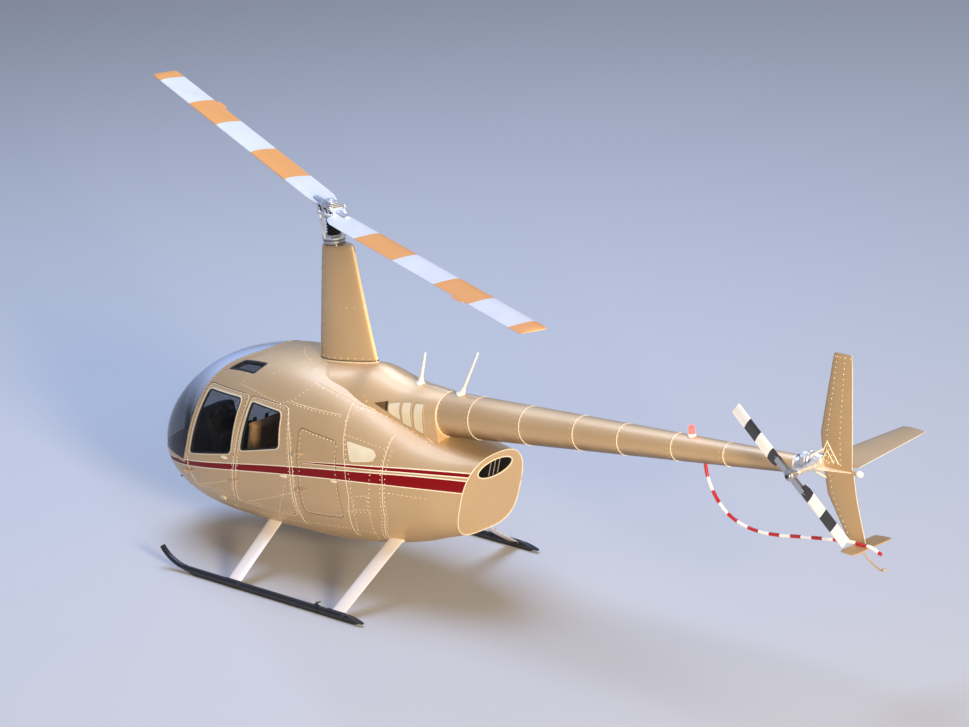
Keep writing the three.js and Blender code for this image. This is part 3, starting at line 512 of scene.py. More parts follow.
def gold_paint(name, striped, share=1.0):
    """Champagne metallic paint under clear coat; the hull panels carry the dark red stripes."""
    finish = Finish(name)
    x, y, z = finish.place()
    # `share` scales both tones: below 1 for a copy with painted shade, above 1 for one with painted light.
    light, deep = [(*[channel * share for channel in tone[:3]], 1) for tone in (GOLD, GOLD_DEEP)]
    colour = finish.mix(finish.noise(2.2, 3.0), light, deep)
    if striped:
        tail_face = x - (z - TAIL_FACE["z"]) * TAIL_FACE["lean"] > TAIL_FACE["x"] - TAIL_FACE["edge"]
        side = 1 - tail_face
        middle = abs(z - curve_of(x, STRIPE_MIDDLE, 4))
        half = curve_of(x, STRIPE_HALF, 2)
        line = abs(z - curve_of(x, UPPER_LINE, 3))
        line_half = curve_of(x, UPPER_LINE_HALF, 3)
        begun = (x > UPPER_LINE_START) * side
        ivory = (middle < half + IVORY_EDGE) * side + (line < line_half * 1.5 + FINE_EDGE) * begun
        red = (middle < half) * side + (line < line_half) * begun
        colour = finish.mix(ivory, colour, IVORY)
        colour = finish.mix(red, colour, STRIPE_RED)
        finish.set(Metallic=(1 - red) * (1 - ivory) * PAINT_METALLIC, Coat_Weight=(1 - red) * PAINT_COAT)
    else:
        finish.set(Metallic=PAINT_METALLIC, Coat_Weight=PAINT_COAT)
    return sprayed(finish, colour)


hull_paint = gold_paint("gold_paint_striped", True)
plain_gold = gold_paint("gold_paint", False)
# The fin copy is darker, painted shade for the fins' shaded sides.
fin_gold_painted_shade = gold_paint("gold_paint_fin_painted_shade", False, 0.82)
# The cowl copy is lighter, painted light for the lit saddle of the upper cowl.
cowl_gold_painted_light = gold_paint("gold_paint_cowl_painted_light", False, 1.18)


# The lower hull is the tub that carries floor, gear and nose, riveted up under the doors. Its inside,
# like the cabin's, is trimmed with dark moulded panels.
HULL_TOP = 0.620
HULL_FRONT = -1.705
HULL_FRONT_TOP = 0.885
PAINT_DEPTH = 0.0035
CABIN_END = [(-0.151, 1.689, 0), (-0.060, 1.422, 0.06), (-0.028, 1.156, 0.06), (-0.053, 0.568, 0)]


def panel(name, mesh, lining, node, body="airframe", paint=hull_paint):
    """A painted panel in place of a node; the faces that lie under the outer skin have its lining."""
    piece = show(name, mesh, paint, body, node)
    piece.data.materials.append(lining)
    inner = [body_surface.find_nearest(face.center)[3] > PAINT_DEPTH for face in piece.data.polygons]
    piece.data.polygons.foreach_set("material_index", np.array(inner, int))


def lining_finish(name, colour, grain, slot="body_paint"):
    """Moulded, woven or matt painted trim with a fine grain."""
    finish = Finish(name, slot)
    finish.bump(finish.noise(grain, 3.0), 0.4, 0.0008)
    shade = tuple(channel * 0.7 for channel in colour)
    return finish.set(
        Base_Color=finish.mix(finish.noise(6.0, 3.0), (*colour, 1), (*shade, 1)),
        Roughness=finish.noise(11.0, 2.0) * 0.15 + 0.65,
    )


dark_lining = lining_finish("dark_lining", (0.030, 0.030, 0.034), 420.0)
front_wall = carved(body_wall, *less(across(behind(CABIN_END, -SEAT_GAP))))
hull_front = [
    (-FAR, -FAR, 0), (HULL_FRONT, -FAR, 0), (HULL_FRONT, HULL_FRONT_TOP, 0), (-FAR, HULL_FRONT_TOP, 0),
]
hull_block = carved(block((-FAR, FAR), (-FAR, FAR), (-FAR, HULL_TOP)), *plus(across(hull_front)))
panel("lower_hull_skin", carved(front_wall, *within(hull_block)), dark_lining, "lower_hull")


# The cabin frame holds two windshields on a middle post, two skylights and four doors. The glass is
# tinted acrylic sheet; each door is a leaf of the same skin, with edges that narrow inwards.
WINDSHIELD_EDGE = [
    (-1.698, 0.885, 0), (-1.607, 1.059, 0.06), (-1.461, 1.473, 0.07), (-1.377, 1.689, 0.07),
    (-1.250, 1.845, 0.07), (-1.098, 1.927, 0.07), (-0.880, 2.010, 0),
]
DOORS = {
    "front": [
        (-1.322, 1.697, 0.06), (-0.683, 1.712, 0.05), (-0.855, 1.046, 0.10), (-0.960, 0.640, 0.06),
        (-1.580, 0.640, 0.12), (-1.640, 0.880, 0.06), (-1.548, 1.090, 0.06), (-1.412, 1.460, 0.06),
    ],
    "rear": [
        (-0.648, 1.712, 0.05), (-0.140, 1.700, 0.06), (-0.085, 1.422, 0.06), (-0.062, 1.156, 0.10),
        (-0.075, 0.640, 0.11), (-0.925, 0.640, 0.06), (-0.825, 1.046, 0.10),
    ],
}
WINDOWS = {
    "front": [(-1.309, 1.654, 0.05), (-0.786, 1.671, 0.05), (-0.892, 1.130, 0.06), (-1.559, 0.991, 0.05)],
    "rear": [(-0.636, 1.668, 0.04), (-0.222, 1.644, 0.05), (-0.205, 1.316, 0.05), (-0.751, 1.189, 0.05)],
}
SKYLIGHT = [(-1.153, 0.408, 0.025), (-1.016, 0.331, 0.025), (-0.683, 0.358, 0.025), (-0.761, 0.454, 0.025)]
SKYLIGHT_DEPTH = 1.6
POST_HALF = 0.016
SHUT_GAP = 0.005
SIDE_START = 0.2
PLUG_REACHES = (0.9, 0.3)
DOOR_LEAN = 0.25
DOOR_RISE = 0.15
DOOR_PLANE = 0.735


def side_prism(corners, side):
    return prism(corners, "y", *sorted((side * SIDE_START, side * FAR)))


def door_plug(corners, side, level=1.0):
    """The wedge that a door is cut with: it narrows inwards, as the door's edges do."""
    flat = rounded(corners)
    sizes = np.array(corners)
    front, rear = sizes[:, 0].min(), sizes[:, 0].max()
    low, top = sizes[:, 1].min(), sizes[:, 1].max()
    rings = []
    for reach in PLUG_REACHES:
        lean = DOOR_LEAN * (DOOR_PLANE - reach) * (flat[:, 0] - front) / (rear - front)
        rise = DOOR_RISE * (DOOR_PLANE - reach) * (level - (flat[:, 1] - low) / (top - low))
        rings.append(np.stack(
            [flat[:, 0] - lean, np.full(len(flat), side * reach), flat[:, 1] + rise], axis=1,
        ))
    return skinned(rings)


def skylight_prism(side, spare):
    outline = [(x, side * y, radius) for x, y, radius in grown(SKYLIGHT, spare)]
    return prism(outline, "z", SKYLIGHT_DEPTH, FAR)


PAINTED_REFLECTION_HEIGHTS = (1.25, 1.85)


def pane_finish(name, low_colour, painted_reflection_colour, low_alpha, painted_reflection_alpha, gloss_share):
    """Tinted acrylic sheet with a painted sky reflection: paler and denser towards the roof."""
    finish = Finish(name, "clear_glass")
    x, y, z = finish.place()
    low, high = PAINTED_REFLECTION_HEIGHTS
    ramp = finish.add("ShaderNodeMapRange", {"interpolation_type": "SMOOTHSTEP"}, {0: z, 1: low, 2: high})
    share = Wire(finish, ramp.outputs[0])
    smudge = finish.noise(3.0, 4.0, 0.6)
    return finish.set(
        Base_Color=finish.mix(share, low_colour, painted_reflection_colour), Roughness=smudge * 0.06 + 0.02,
        Alpha=share * (painted_reflection_alpha - low_alpha) + low_alpha, Coat_Weight=gloss_share, Coat_Roughness=0.02,
        IOR=1.49, Specular_IOR_Level=gloss_share,
    )


# The clear panes' pale, dense upper colour is painted reflection of the sky.
clear_pane = pane_finish("clear_acrylic", (0.03, 0.035, 0.045, 1), (0.66, 0.69, 0.74, 1), 0.42, 0.72, 0.15)
dark_pane = pane_finish("smoked_acrylic", (0.008, 0.009, 0.010, 1), (0.02, 0.022, 0.026, 1), 0.18, 0.18, 0.1)
SHIELD_OUTLINE = [*WINDSHIELD_EDGE, (-0.880, FAR, 0), (-FAR, FAR, 0), (-FAR, HULL_FRONT_TOP, 0)]
windshield_block = across(SHIELD_OUTLINE)
door_rooms = [door_plug(grown(door, SHUT_GAP), side) for door in DOORS.values() for _, side in SIDES]
cabin_shell = carved(
    front_wall, *less(hull_block, windshield_block, *door_rooms),
    *less(*[skylight_prism(side, 0) for _, side in SIDES]),
)
panel("cabin_frame_skin", cabin_shell, dark_lining, "cabin_frame")
above_hull = block((-FAR, FAR), (-FAR, FAR), (HULL_FRONT_TOP, FAR))
shield = carved(glass_wall, *within(windshield_block, above_hull))
post_block = block((-FAR, FAR), (-POST_HALF, POST_HALF), (-FAR, FAR))
for word, side in SIDES:
    half = block((-FAR, FAR), sorted((side * (POST_HALF + SEAT_GAP), side * FAR)), (-FAR, FAR))
    show(f"windshield_pane_{word}", carved(shield, *within(half)), clear_pane, replaces=f"windshield_{word}")
    show(
        f"skylight_pane_{word}", carved(glass_wall, *within(skylight_prism(side, -SEAT_GAP))), dark_pane,
        replaces=f"skylight_{word}",
    )
    for place, door in DOORS.items():
        leaf = carved(body_wall, *within(door_plug(door, side)), *less(side_prism(WINDOWS[place], side)))
        body = f"{place}_{word}_door"
        panel(f"{place}_door_skin_{word}", leaf, dark_lining, f"{place}_door_{word}", body)
        pane = carved(glass_wall, *within(side_prism(grown(WINDOWS[place], -SEAT_GAP), side)))
        show(f"{place}_pane_{word}", pane, dark_pane, body, f"{place}_window_{word}")
post = carved(body_wall, *within(windshield_block, above_hull, post_block))
panel("windshield_post_skin", post, dark_lining, "windshield_post", paint=plain_gold)


# Behind the cabin come the baggage bay with its door on the left and the engine bay's cowl, both of
# the same skin, primed olive inside and parted by bowed upright seams.
SEAM_2 = [(0.480, 1.800, 0), (0.628, 1.294, 0.1), (0.656, 0.997, 0.1), (0.549, 0.530, 0)]
SEAM_3 = [(1.010, 1.800, 0), (1.062, 1.164, 0.1), (1.027, 0.842, 0.1), (0.874, 0.554, 0)]
BAGGAGE_DOOR = [(0.040, 1.560, 0.06), (0.520, 1.500, 0.06), (0.560, 0.760, 0.06), (0.040, 0.720, 0.06)]
LID_LEVEL = 0.5
bay_lining = lining_finish("bay_lining", (0.16, 0.17, 0.13), 60.0)
rear_wall = carved(body_wall, *within(across(behind(CABIN_END))))
baggage_shell = carved(
    rear_wall, *less(across(behind(SEAM_2, -SEAT_GAP))),
    *less(door_plug(grown(BAGGAGE_DOOR, SHUT_GAP), -1, LID_LEVEL)),
)
panel("baggage_bay_skin", baggage_shell, bay_lining, "baggage_bay")
baggage_leaf = carved(body_wall, *within(door_plug(BAGGAGE_DOOR, -1, LID_LEVEL)))
panel("baggage_door_skin", baggage_leaf, bay_lining, "baggage_door", "baggage_lid")
engine_shell = carved(rear_wall, *within(across(behind(SEAM_2))), *less(across(behind(SEAM_3, -SEAT_GAP))))
panel("engine_cowl_skin", engine_shell, bay_lining, "engine_cowl")


# The tail cowl closes the body with a flat slanted face, pierced by the exhaust's oval opening.
# Its sides carry on those of the engine bay's cowl behind a riveted seam.
EXHAUST = {"z": 1.336, "wide": 0.216, "high": 0.086, "start": 1.5}


def oval(x, z, half, sides=28):
    angle = angles(sides)
    return np.stack([x + half[0] * np.cos(angle), z + half[1] * np.sin(angle), angle * 0], axis=1)


def exhaust_corners(spare):
    """The opening's outline as (y, z, corner radius), wider all round by `spare`."""
    return oval(0, EXHAUST["z"], (EXHAUST["wide"] + spare, EXHAUST["high"] + spare), 48)


tail_shell = carved(
    rear_wall, *within(across(behind(SEAM_3))),
    *less(prism(exhaust_corners(0), "x", EXHAUST["start"], FAR)),
)
panel("tail_cowl_skin", tail_shell, bay_lining, "tail_cowl")


# The exhaust leaves by an oval pipe of thin steel, black inside with soot. Three upright vanes of
# bare steel steady the gas, and a rolled lip closes the skin round the opening, pale as painted highlight.
DUCT_WALL = 0.008
DUCT_FRONT = 1.400
DUCT_END = 0.012
DUCT_RIM = 0.012
VANES = {"y": (-0.054, 0.002, 0.058), "x": (1.600, 1.990), "z": (1.2, 1.5), "half": 0.003, "edge": 0.007}
soot_black = lining_finish("soot_black", (0.010, 0.009, 0.009), 90.0, "bare_metal")
inside_body = inset(body_solid, DUCT_RIM)
duct_bar = prism(exhaust_corners(-SEAT_GAP), "x", DUCT_FRONT, FAR)
duct_hole = prism(exhaust_corners(-DUCT_WALL), "x", DUCT_FRONT + DUCT_END, FAR)
duct = carved(duct_bar, *less(duct_hole), *within(inside_body))
show("exhaust_pipe", duct, soot_black, replaces="exhaust_duct")
vane_steel = lining_finish("vane_steel", (0.42, 0.36, 0.30), 90.0, "bare_metal")
behind_edges = inset(body_solid, DUCT_RIM + VANES["edge"])
for number, y in enumerate(VANES["y"], 1):
    vane = block(VANES["x"], (y - VANES["half"], y + VANES["half"]), VANES["z"])
    vane = carved(vane, *within(duct_bar, inside_body))
    show(f"exhaust_vane_{number}", carved(vane.copy(), *within(behind_edges)), soot_black)
    show(f"exhaust_vane_edge_{number}", carved(vane, *less(behind_edges)), vane_steel)


# Raised trim on the body: pale lips and black rubber seals round the windows, a screwed strip round
# the windshield, and thin plates. Each is a slice of a sheet that hugs the painted skin.
LIP = {"rise": 0.0028, "sink": 0.004}
SEAL = {"rise": 0.0012, "sink": 0.006}
SKYLIGHT_SEAL = (0.009, -0.010)
WINDOW_LIP = (0.011, 0.001)
WINDOW_SEAL = (0.001, -0.013)
SHIELD_STRIP = (0.026, -0.004)
CREAM_PLATE = [
    (0.607, 1.511, 0.02), (0.907, 1.469, 0.03), (0.951, 1.416, 0.02), (0.913, 1.369, 0.03),
    (0.685, 1.340, 0.03),
]
STEP_PLATE = {"x": -1.179, "z": 0.606, "half": (0.046, 0.024), "rise": 0.012}


def hugging(solid, rise, sink):
    """A thin sheet that lies on a solid, from `rise` outside it to `sink` inside."""
    return carved(inset(solid, -rise), *less(inset(solid, sink)))


def patch(sheet, corners, side):
    """The part of a sheet inside an outline that is drawn in side view."""
    return carved(sheet, *within(side_prism(corners, side)))


def ring(sheet, corners, outer, inner, side):
    """The part of a sheet between an outline grown by two distances."""
    return carved(patch(sheet, grown(corners, outer), side), *less(side_prism(grown(corners, inner), side)))


cream_paint = lining_finish("cream_enamel", (0.82, 0.72, 0.52), 300.0, "pale_paint")
rubber_seal = lining_finish("rubber_seal", (0.012, 0.012, 0.013), 500.0, "interior_black")
trim_sheet = hugging(body_solid, **LIP)
seal_sheet = hugging(body_solid, **SEAL)
step_sheet = hugging(body_solid, STEP_PLATE["rise"], LIP["sink"])
step = oval(STEP_PLATE["x"], STEP_PLATE["z"], STEP_PLATE["half"])
for word, side in SIDES:
    for place, window in WINDOWS.items():
        body = f"{place}_{word}_door"
        # The pale colour of each window lip is painted highlight, the bright edge of the frame round the
        # window.
        show(f"{place}_window_lip_{word}", ring(trim_sheet, window, *WINDOW_LIP, side), cream_paint, body)
        show(f"{place}_window_seal_{word}", ring(seal_sheet, window, *WINDOW_SEAL, side), rubber_seal, body)
    sky_outer, sky_inner = [skylight_prism(side, spare) for spare in SKYLIGHT_SEAL]
    sky_seal = carved(seal_sheet, *within(sky_outer), *less(sky_inner))
    show(f"skylight_seal_{word}", sky_seal, rubber_seal)
    show(f"cream_plate_{word}", patch(trim_sheet, CREAM_PLATE, side), cream_paint)
    show(f"step_plate_{word}", patch(step_sheet, step, side), cream_paint)
strip_outer, strip_inner = [across(grown(SHIELD_OUTLINE, spare)) for spare in SHIELD_STRIP]
shield_strip = carved(trim_sheet, *within(strip_outer), *less(strip_inner))
show("windshield_strip", shield_strip, plain_gold)


# Rows of low rivet heads hold the skins to their frames, and rolled beads close the panel joints.
# Both are in a pale gold that is painted highlight, brighter than the paint where they catch the
# light. The rows are drawn in side view on the left and dropped on to the skin of both sides.
RIVET = {"spacing": 0.044, "radius": 0.0054, "height": 0.0024}
BEAD_RADIUS = 0.0030
RIVET_ROWS = [
    [(-0.143, 1.681), (-0.050, 1.440), (-0.018, 1.178), (-0.012, 0.965), (-0.015, 0.779), (-0.043, 0.570)],
    [(0.518, 1.700), (0.655, 1.310), (0.690, 1.162), (0.690, 0.962), (0.676, 0.756), (0.580, 0.560)],
    [(0.925, 1.420), (0.912, 1.152), (0.870, 0.876), (0.845, 0.753), (0.783, 0.556)],
    [(1.080, 1.470), (1.085, 1.200), (1.050, 0.842), (0.905, 0.570)],
    [(1.012, 1.560), (1.036, 1.180), (1.002, 0.850), (0.850, 0.560)],
    [(0.610, 0.845), (0.865, 0.876)],
    [(-0.034, 0.606), (0.523, 0.643), (0.796, 0.633)],
    [(-0.348, 0.560), (0.003, 0.575)],
    [(-0.052, 0.466), (0.349, 0.450)],
    [(-1.560, 0.560), (-1.100, 0.545), (-0.560, 0.560)],
    [(-1.046, 0.543), (-1.160, 0.345)], [(-0.375, 0.610), (-0.426, 0.543)],
    [(-1.640, 0.780), (-1.780, 0.700), (-1.960, 0.690)],
    [(-0.150, 1.730), (0.100, 1.712), (0.440, 1.690)],
    [(0.568, 1.560), (0.997, 1.486)],
    [(1.125, 1.112), (1.500, 1.104)],
    [(0.720, 1.020), (0.880, 1.048), (0.850, 0.905), (0.690, 0.876), (0.720, 1.020)],
]
LEFT_DIAGONALS = [[(0.048, 1.052), (0.431, 1.015), (0.540, 0.950)], [(0.048, 0.790), (0.440, 0.830)]]
BEADS = [
    [(x, z) for x, z, _ in CABIN_END], [(x + 0.003, z) for x, z, _ in SEAM_2[:-1]] + [(0.560, 0.560)],
    [(1.020, 1.590), (1.062, 1.164), (1.027, 0.842), (0.890, 0.580)],
    [(-0.140, 1.745), (0.100, 1.726), (0.450, 1.704)],
]
STRIP_ROW_SHIFT = 0.014
DOOR_ROW_INSET = -0.022
DOOR_BEAD_INSET = -0.0025
DOOR_ROWS = {
    "front": [[(-1.500, 0.675), (-1.315, 0.736), (-0.960, 0.850)], [(-1.461, 0.672), (-1.087, 0.698)]],
    "rear": [
        [(-0.740, 0.674), (-0.362, 0.802), (-0.110, 0.895)], [(-0.613, 0.719), (-0.622, 0.668)],
        [(-0.125, 1.040), (-0.216, 0.842), (-0.335, 0.668)],
    ],
}
EXHAUST_LIP = 0.0065
ROOF_ARCS = [
    [(-0.267, -0.605, 1.704), (-0.106, -0.553, 1.768), (-0.033, -0.485, 1.838), (0.020, -0.400, 1.900)],
    [(0.510, -0.515, 1.664), (0.549, -0.451, 1.715), (0.592, -0.374, 1.756)],
    [(-0.642, -0.374, 1.947), (-0.556, -0.345, 1.970)], [(-0.510, -0.434, 1.913), (-0.464, -0.402, 1.938)],
    [(-0.500, -0.030, 2.049), (-0.421, -0.119, 2.045), (-0.217, -0.213, 2.018)],
    [(-0.860, -0.560, 1.790), (-0.500, -0.600, 1.745), (-0.267, -0.605, 1.712)],
    [(-0.880, -0.020, 2.012), (-0.868, -0.200, 1.985)],
    [(-0.854, -0.470, 1.865), (-0.850, -0.540, 1.815)],
]


def node_group(name, inputs):
    """A Geometry Nodes group with named inputs, its entry and its exit."""
    group = bpy.data.node_groups.new(name, "GeometryNodeTree")
    group.interface.new_socket("Geometry", in_out="INPUT", socket_type="NodeSocketGeometry")
    for title, kind in inputs.items():
        group.interface.new_socket(title, in_out="INPUT", socket_type=f"NodeSocket{kind}")
    group.interface.new_socket("Geometry", in_out="OUTPUT", socket_type="NodeSocketGeometry")
    return group, group.nodes.new("NodeGroupInput"), group.nodes.new("NodeGroupOutput")


def grow(group, kind, settings, inputs):
    """One node of a group, with its settings and what its sockets take."""
    node = group.nodes.new(kind)
    for key, value in settings.items():
        setattr(node, key, value)
    for key, value in inputs.items():
        if isinstance(value, bpy.types.NodeSocket):
            group.links.new(value, node.inputs[key])
        else:
            node.inputs[key].default_value = value
    return node


def finish_group(group, entry, exit_node, geometry):
    """Makes a group's copies real and dresses them in its finish."""
    plain = grow(group, "GeometryNodeRealizeInstances", {}, {0: geometry})
    dressed = grow(group, "GeometryNodeSetMaterial", {}, {
        "Geometry": plain.outputs[0], "Material": entry.outputs["Finish"],
    })
    group.links.new(dressed.outputs[0], exit_node.inputs[0])
    return group


def rivet_group():
    """Cone-shaped heads set at even steps along the rows, standing off the skin."""
    group, entry, exit_node = node_group("rivet_rows", {
        "Spacing": "Float", "Head Radius": "Float", "Head Height": "Float", "Finish": "Material",
    })
    rows = grow(group, "GeometryNodeMeshToCurve", {}, {0: entry.outputs[0]})
    spots = grow(group, "GeometryNodeResampleCurve", {"mode": "LENGTH"}, {
        "Curve": rows.outputs[0], "Length": entry.outputs["Spacing"],
    })
    top = grow(group, "ShaderNodeMath", {"operation": "MULTIPLY"}, {
        0: entry.outputs["Head Radius"], 1: 0.62,
    })
    head = grow(group, "GeometryNodeMeshCone", {}, {
        "Vertices": 8, "Radius Top": top.outputs[0], "Radius Bottom": entry.outputs["Head Radius"],
        "Depth": entry.outputs["Head Height"],
    })
    out = grow(group, "GeometryNodeInputNamedAttribute", {"data_type": "FLOAT_VECTOR"}, {"Name": "out"})
    tilt = grow(group, "FunctionNodeAlignRotationToVector", {"axis": "Z"}, {
        "Vector": out.outputs["Attribute"],
    })
    heads = grow(group, "GeometryNodeInstanceOnPoints", {}, {
        "Points": spots.outputs[0], "Instance": head.outputs["Mesh"], "Rotation": tilt.outputs[0],
    })
    return finish_group(group, entry, exit_node, heads.outputs[0])


def bead_group():
    """A round bead swept along the rows."""
    group, entry, exit_node = node_group("seam_beads", {"Bead Radius": "Float", "Finish": "Material"})
    rows = grow(group, "GeometryNodeMeshToCurve", {}, {0: entry.outputs[0]})
    circle = grow(group, "GeometryNodeCurvePrimitiveCircle", {}, {
        "Resolution": 6, "Radius": entry.outputs["Bead Radius"],
    })
    sweep = grow(group, "GeometryNodeCurveToMesh", {}, {
        "Curve": rows.outputs[0], "Profile Curve": circle.outputs["Curve"], "Fill Caps": True,
    })
    return finish_group(group, entry, exit_node, sweep.outputs[0])


def grown_along(name, rows, group, inputs, finish, body, slot=None):
    """Runs a node group over rows of (place, way out) and keeps the plain mesh that it makes."""
    places = [place for row in rows for place, _ in row]
    ways = [way for row in rows for _, way in row]
    edges, start = [], 0
    for row in rows:
        edges += [(start + i, start + i + 1) for i in range(len(row) - 1)]
        start += len(row)
    guide = bpy.data.meshes.new(name)
    guide.from_pydata([tuple(place) for place in places], edges, [])
    guide.attributes.new("out", "FLOAT_VECTOR", "POINT").data.foreach_set("vector", np.ravel(ways))
    holder = bpy.data.objects.new(name, guide)
    scene.collection.objects.link(holder)
    step = holder.modifiers.new("rows", "NODES")
    step.node_group = group
    names = {item.name: item.identifier for item in group.interface.items_tree if item.in_out == "INPUT"}
    for title, value in {**inputs, "Finish": finish}.items():
        step[names[title]] = value
    graph = bpy.context.evaluated_depsgraph_get()
    mesh = bpy.data.meshes.new_from_object(holder.evaluated_get(graph))
    bpy.data.objects.remove(holder)
    show(name, mesh, finish, body, slot=slot, crease=40)


def resampled(row, step=0.03):
    """A polyline with a point at least every `step`."""
    row = np.array(row, float)
    run = [row[0]]
    for a, b in zip(row[:-1], row[1:]):
        count = max(int(np.ceil(np.linalg.norm(b - a) / step)), 1)
        run += [a + (b - a) * k / count for k in range(1, count + 1)]
    return np.array(run)


def dropped(row, surface, side, rise=0.0):
    """The places on a surface under a row drawn in side view, each with its way out."""
    found = []
    for x, z in resampled(row):
        place, way, _, _ = surface.ray_cast(Vector((x + MAST_X, side * FAR, z)), Vector((0, -side, 0)))
        if place is not None:
            found.append((place + way * rise, way))
    return found


def stuck(row, surface, rise=0.0):
    """The places on a surface nearest to a polyline, each with its way out."""
    found = []
    for point in resampled(row):
        place, way, _, _ = surface.find_nearest(Vector(shifted(point)))
        found.append((place + way * rise, way))
    return found


def outline_row(corners, distance):
    flat = rounded(grown(corners, distance))
    return np.vstack([flat, flat[:1]])[:, :2]


rivet_rows = rivet_group()
seam_beads = bead_group()
# Rivet heads and seam, door-edge, lap and lip beads take this pale gold as painted highlight, brighter than
# the paint under them; levers, straps and the gusset take it as their own pale metal.
pale_gold_and_painted_highlight = Finish("rivet_gold_painted_highlight")
pale_gold_and_painted_highlight.set(
    Base_Color=pale_gold_and_painted_highlight.mix(pale_gold_and_painted_highlight.noise(40.0), (1.0, 0.86, 0.64, 1), (0.92, 0.76, 0.52, 1)),
    Roughness=pale_gold_and_painted_highlight.noise(30.0) * 0.1 + 0.22, Metallic=0.15,
)
pale_gold_and_painted_highlight = pale_gold_and_painted_highlight.material


def riveted(name, rows, body="airframe", **changes):
    """Rivet heads along rows of places, in the usual size but for what changes."""
    head = {**RIVET, **changes}
    inputs = {"Spacing": head["spacing"], "Head Radius": head["radius"], "Head Height": head["height"]}
    grown_along(name, rows, rivet_rows, inputs, pale_gold_and_painted_highlight, body)


def beaded(name, rows, radius, finish=pale_gold_and_painted_highlight, body="airframe", slot=None):
    """A round bead along each row of places."""
    grown_along(name, rows, seam_beads, {"Bead Radius": radius}, finish, body, slot)


TAIL_RIM = 0.0045
body_rows, body_beads = [], []
lip_flat = exhaust_corners(0.004)[:, :2]
lip_flat = np.vstack([lip_flat, lip_flat[:2]])
lip_x = TAIL_FACE["x"] + TAIL_FACE["lean"] * (lip_flat[:, 1] - TAIL_FACE["z"])
lip_ring = shifted(np.stack([lip_x, lip_flat[:, 0], lip_flat[:, 1]], axis=1))
# The exhaust's lip and the tail face's rim are beads in the pale gold of painted highlight.
beaded("exhaust_lip", [[(place, (1, 0, 0)) for place in lip_ring]], EXHAUST_LIP)
tail_rim = shifted(np.vstack([body_rings[-1], body_rings[-1][:2]]))
beaded("tail_face_rim", [[(place, (1, 0, 0)) for place in tail_rim]], TAIL_RIM)
for word, side in SIDES:
    rows = RIVET_ROWS + (LEFT_DIAGONALS if side > 0 else [])
    body_rows += [dropped(row, body_surface, side) for row in rows]
    body_beads += [dropped(row, body_surface, side, -0.0008) for row in BEADS]
    strip_row = [(x + STRIP_ROW_SHIFT, z) for x, z, _ in WINDSHIELD_EDGE]
    body_rows.append(dropped(strip_row, body_surface, side, LIP["rise"]))
    for place, door in DOORS.items():
        body = f"{place}_{word}_door"
        rows = [outline_row(door, DOOR_ROW_INSET), *DOOR_ROWS[place]]
        riveted(f"{place}_door_rivets_{word}", [dropped(row, body_surface, side) for row in rows], body)
    # The bead round each door's edge is painted highlight, a bright line where the edge catches the light.
    for place, door in DOORS.items():
        edge = dropped(outline_row(door, DOOR_BEAD_INSET), body_surface, side, -0.001)
        beaded(f"{place}_door_edge_bead_{word}", [edge], BEAD_RADIUS, body=f"{place}_{word}_door")
    body_rows += [stuck([(x, side * y, z) for x, y, z in arc], body_surface) for arc in ROOF_ARCS]
riveted("body_rivets", body_rows)
beaded("body_seam_beads", body_beads, BEAD_RADIUS)
lid_row = [dropped(outline_row(BAGGAGE_DOOR, DOOR_ROW_INSET), body_surface, -1)]
riveted("baggage_door_rivets", lid_row, "baggage_lid")


# Door hinges and handles: each door hangs on two outside hinges, a barrel on the frame under a barrel
# on the leaf, and opens with a flat lever in an oval plate.
HINGES = {
    # pin x at the lowest hinge, how far out, lean aft by height, heights, arm depth, arms along X
    "front": (-1.660, 0.662, 0.2568, (0.780, 0.940), 0.070, (-0.026, 0.0), (0.055, 0.100)),
    "rear": (-0.888, 0.742, 0.2568, (0.860, 1.130), 0.048, (-0.008, 0.008), (0.026, 0.070)),
    "baggage": (0.034, 0.748, 0.0, (0.950, 1.300), 0.048, (-0.040, 0.0), (0.022, 0.080)),
}
BARREL = {"radius": 0.0088, "length": 0.014, "gap": 0.0006, "edge": 0.001}
STRAP_DEPTH = (-0.008, 0.006)
STRAP_START = 0.002
ARM_INSET = 0.003
HANDLES = {"front": (-0.990, 1.075), "rear": (-0.160, 1.060)}
BAGGAGE_LEVER = (0.500, 1.130)
HANDLE_PLATE = (0.050, 0.017)
LEVER = (0.038, 0.008)
HANDLE_SHEET = (0.006, 0.004)
LEVER_SHEET = (0.014, 0.002)


def turned(profile, base, axis=(0, 0, 1), sides=40):
    """A lathe shape from (radius, height) pairs on a base point along an axis."""
    along = Vector(axis).normalized()
    frame_turn = np.array(along.to_track_quat("Z", "Y").to_matrix())
    angle = angles(sides)
    rings = []
    for radius, height in profile:
        flat = np.stack([radius * np.cos(angle), radius * np.sin(angle), np.full(sides, height)], axis=1)
        rings.append(flat @ frame_turn.T + np.array(base))
    return skinned(rings)


def barrel(pin, low, high, side, out, lean, base):
    """A short pin housing along the hinge line."""
    length = high - low
    lean_way = Vector((lean, 0, 1)).normalized()
    radius, edge = BARREL["radius"], BARREL["edge"]
    profile = [(radius - edge, 0), (radius, edge), (radius, length - edge), (radius - edge, length)]
    return turned(profile, (pin + lean * (low - base), side * out, low), lean_way, 20)


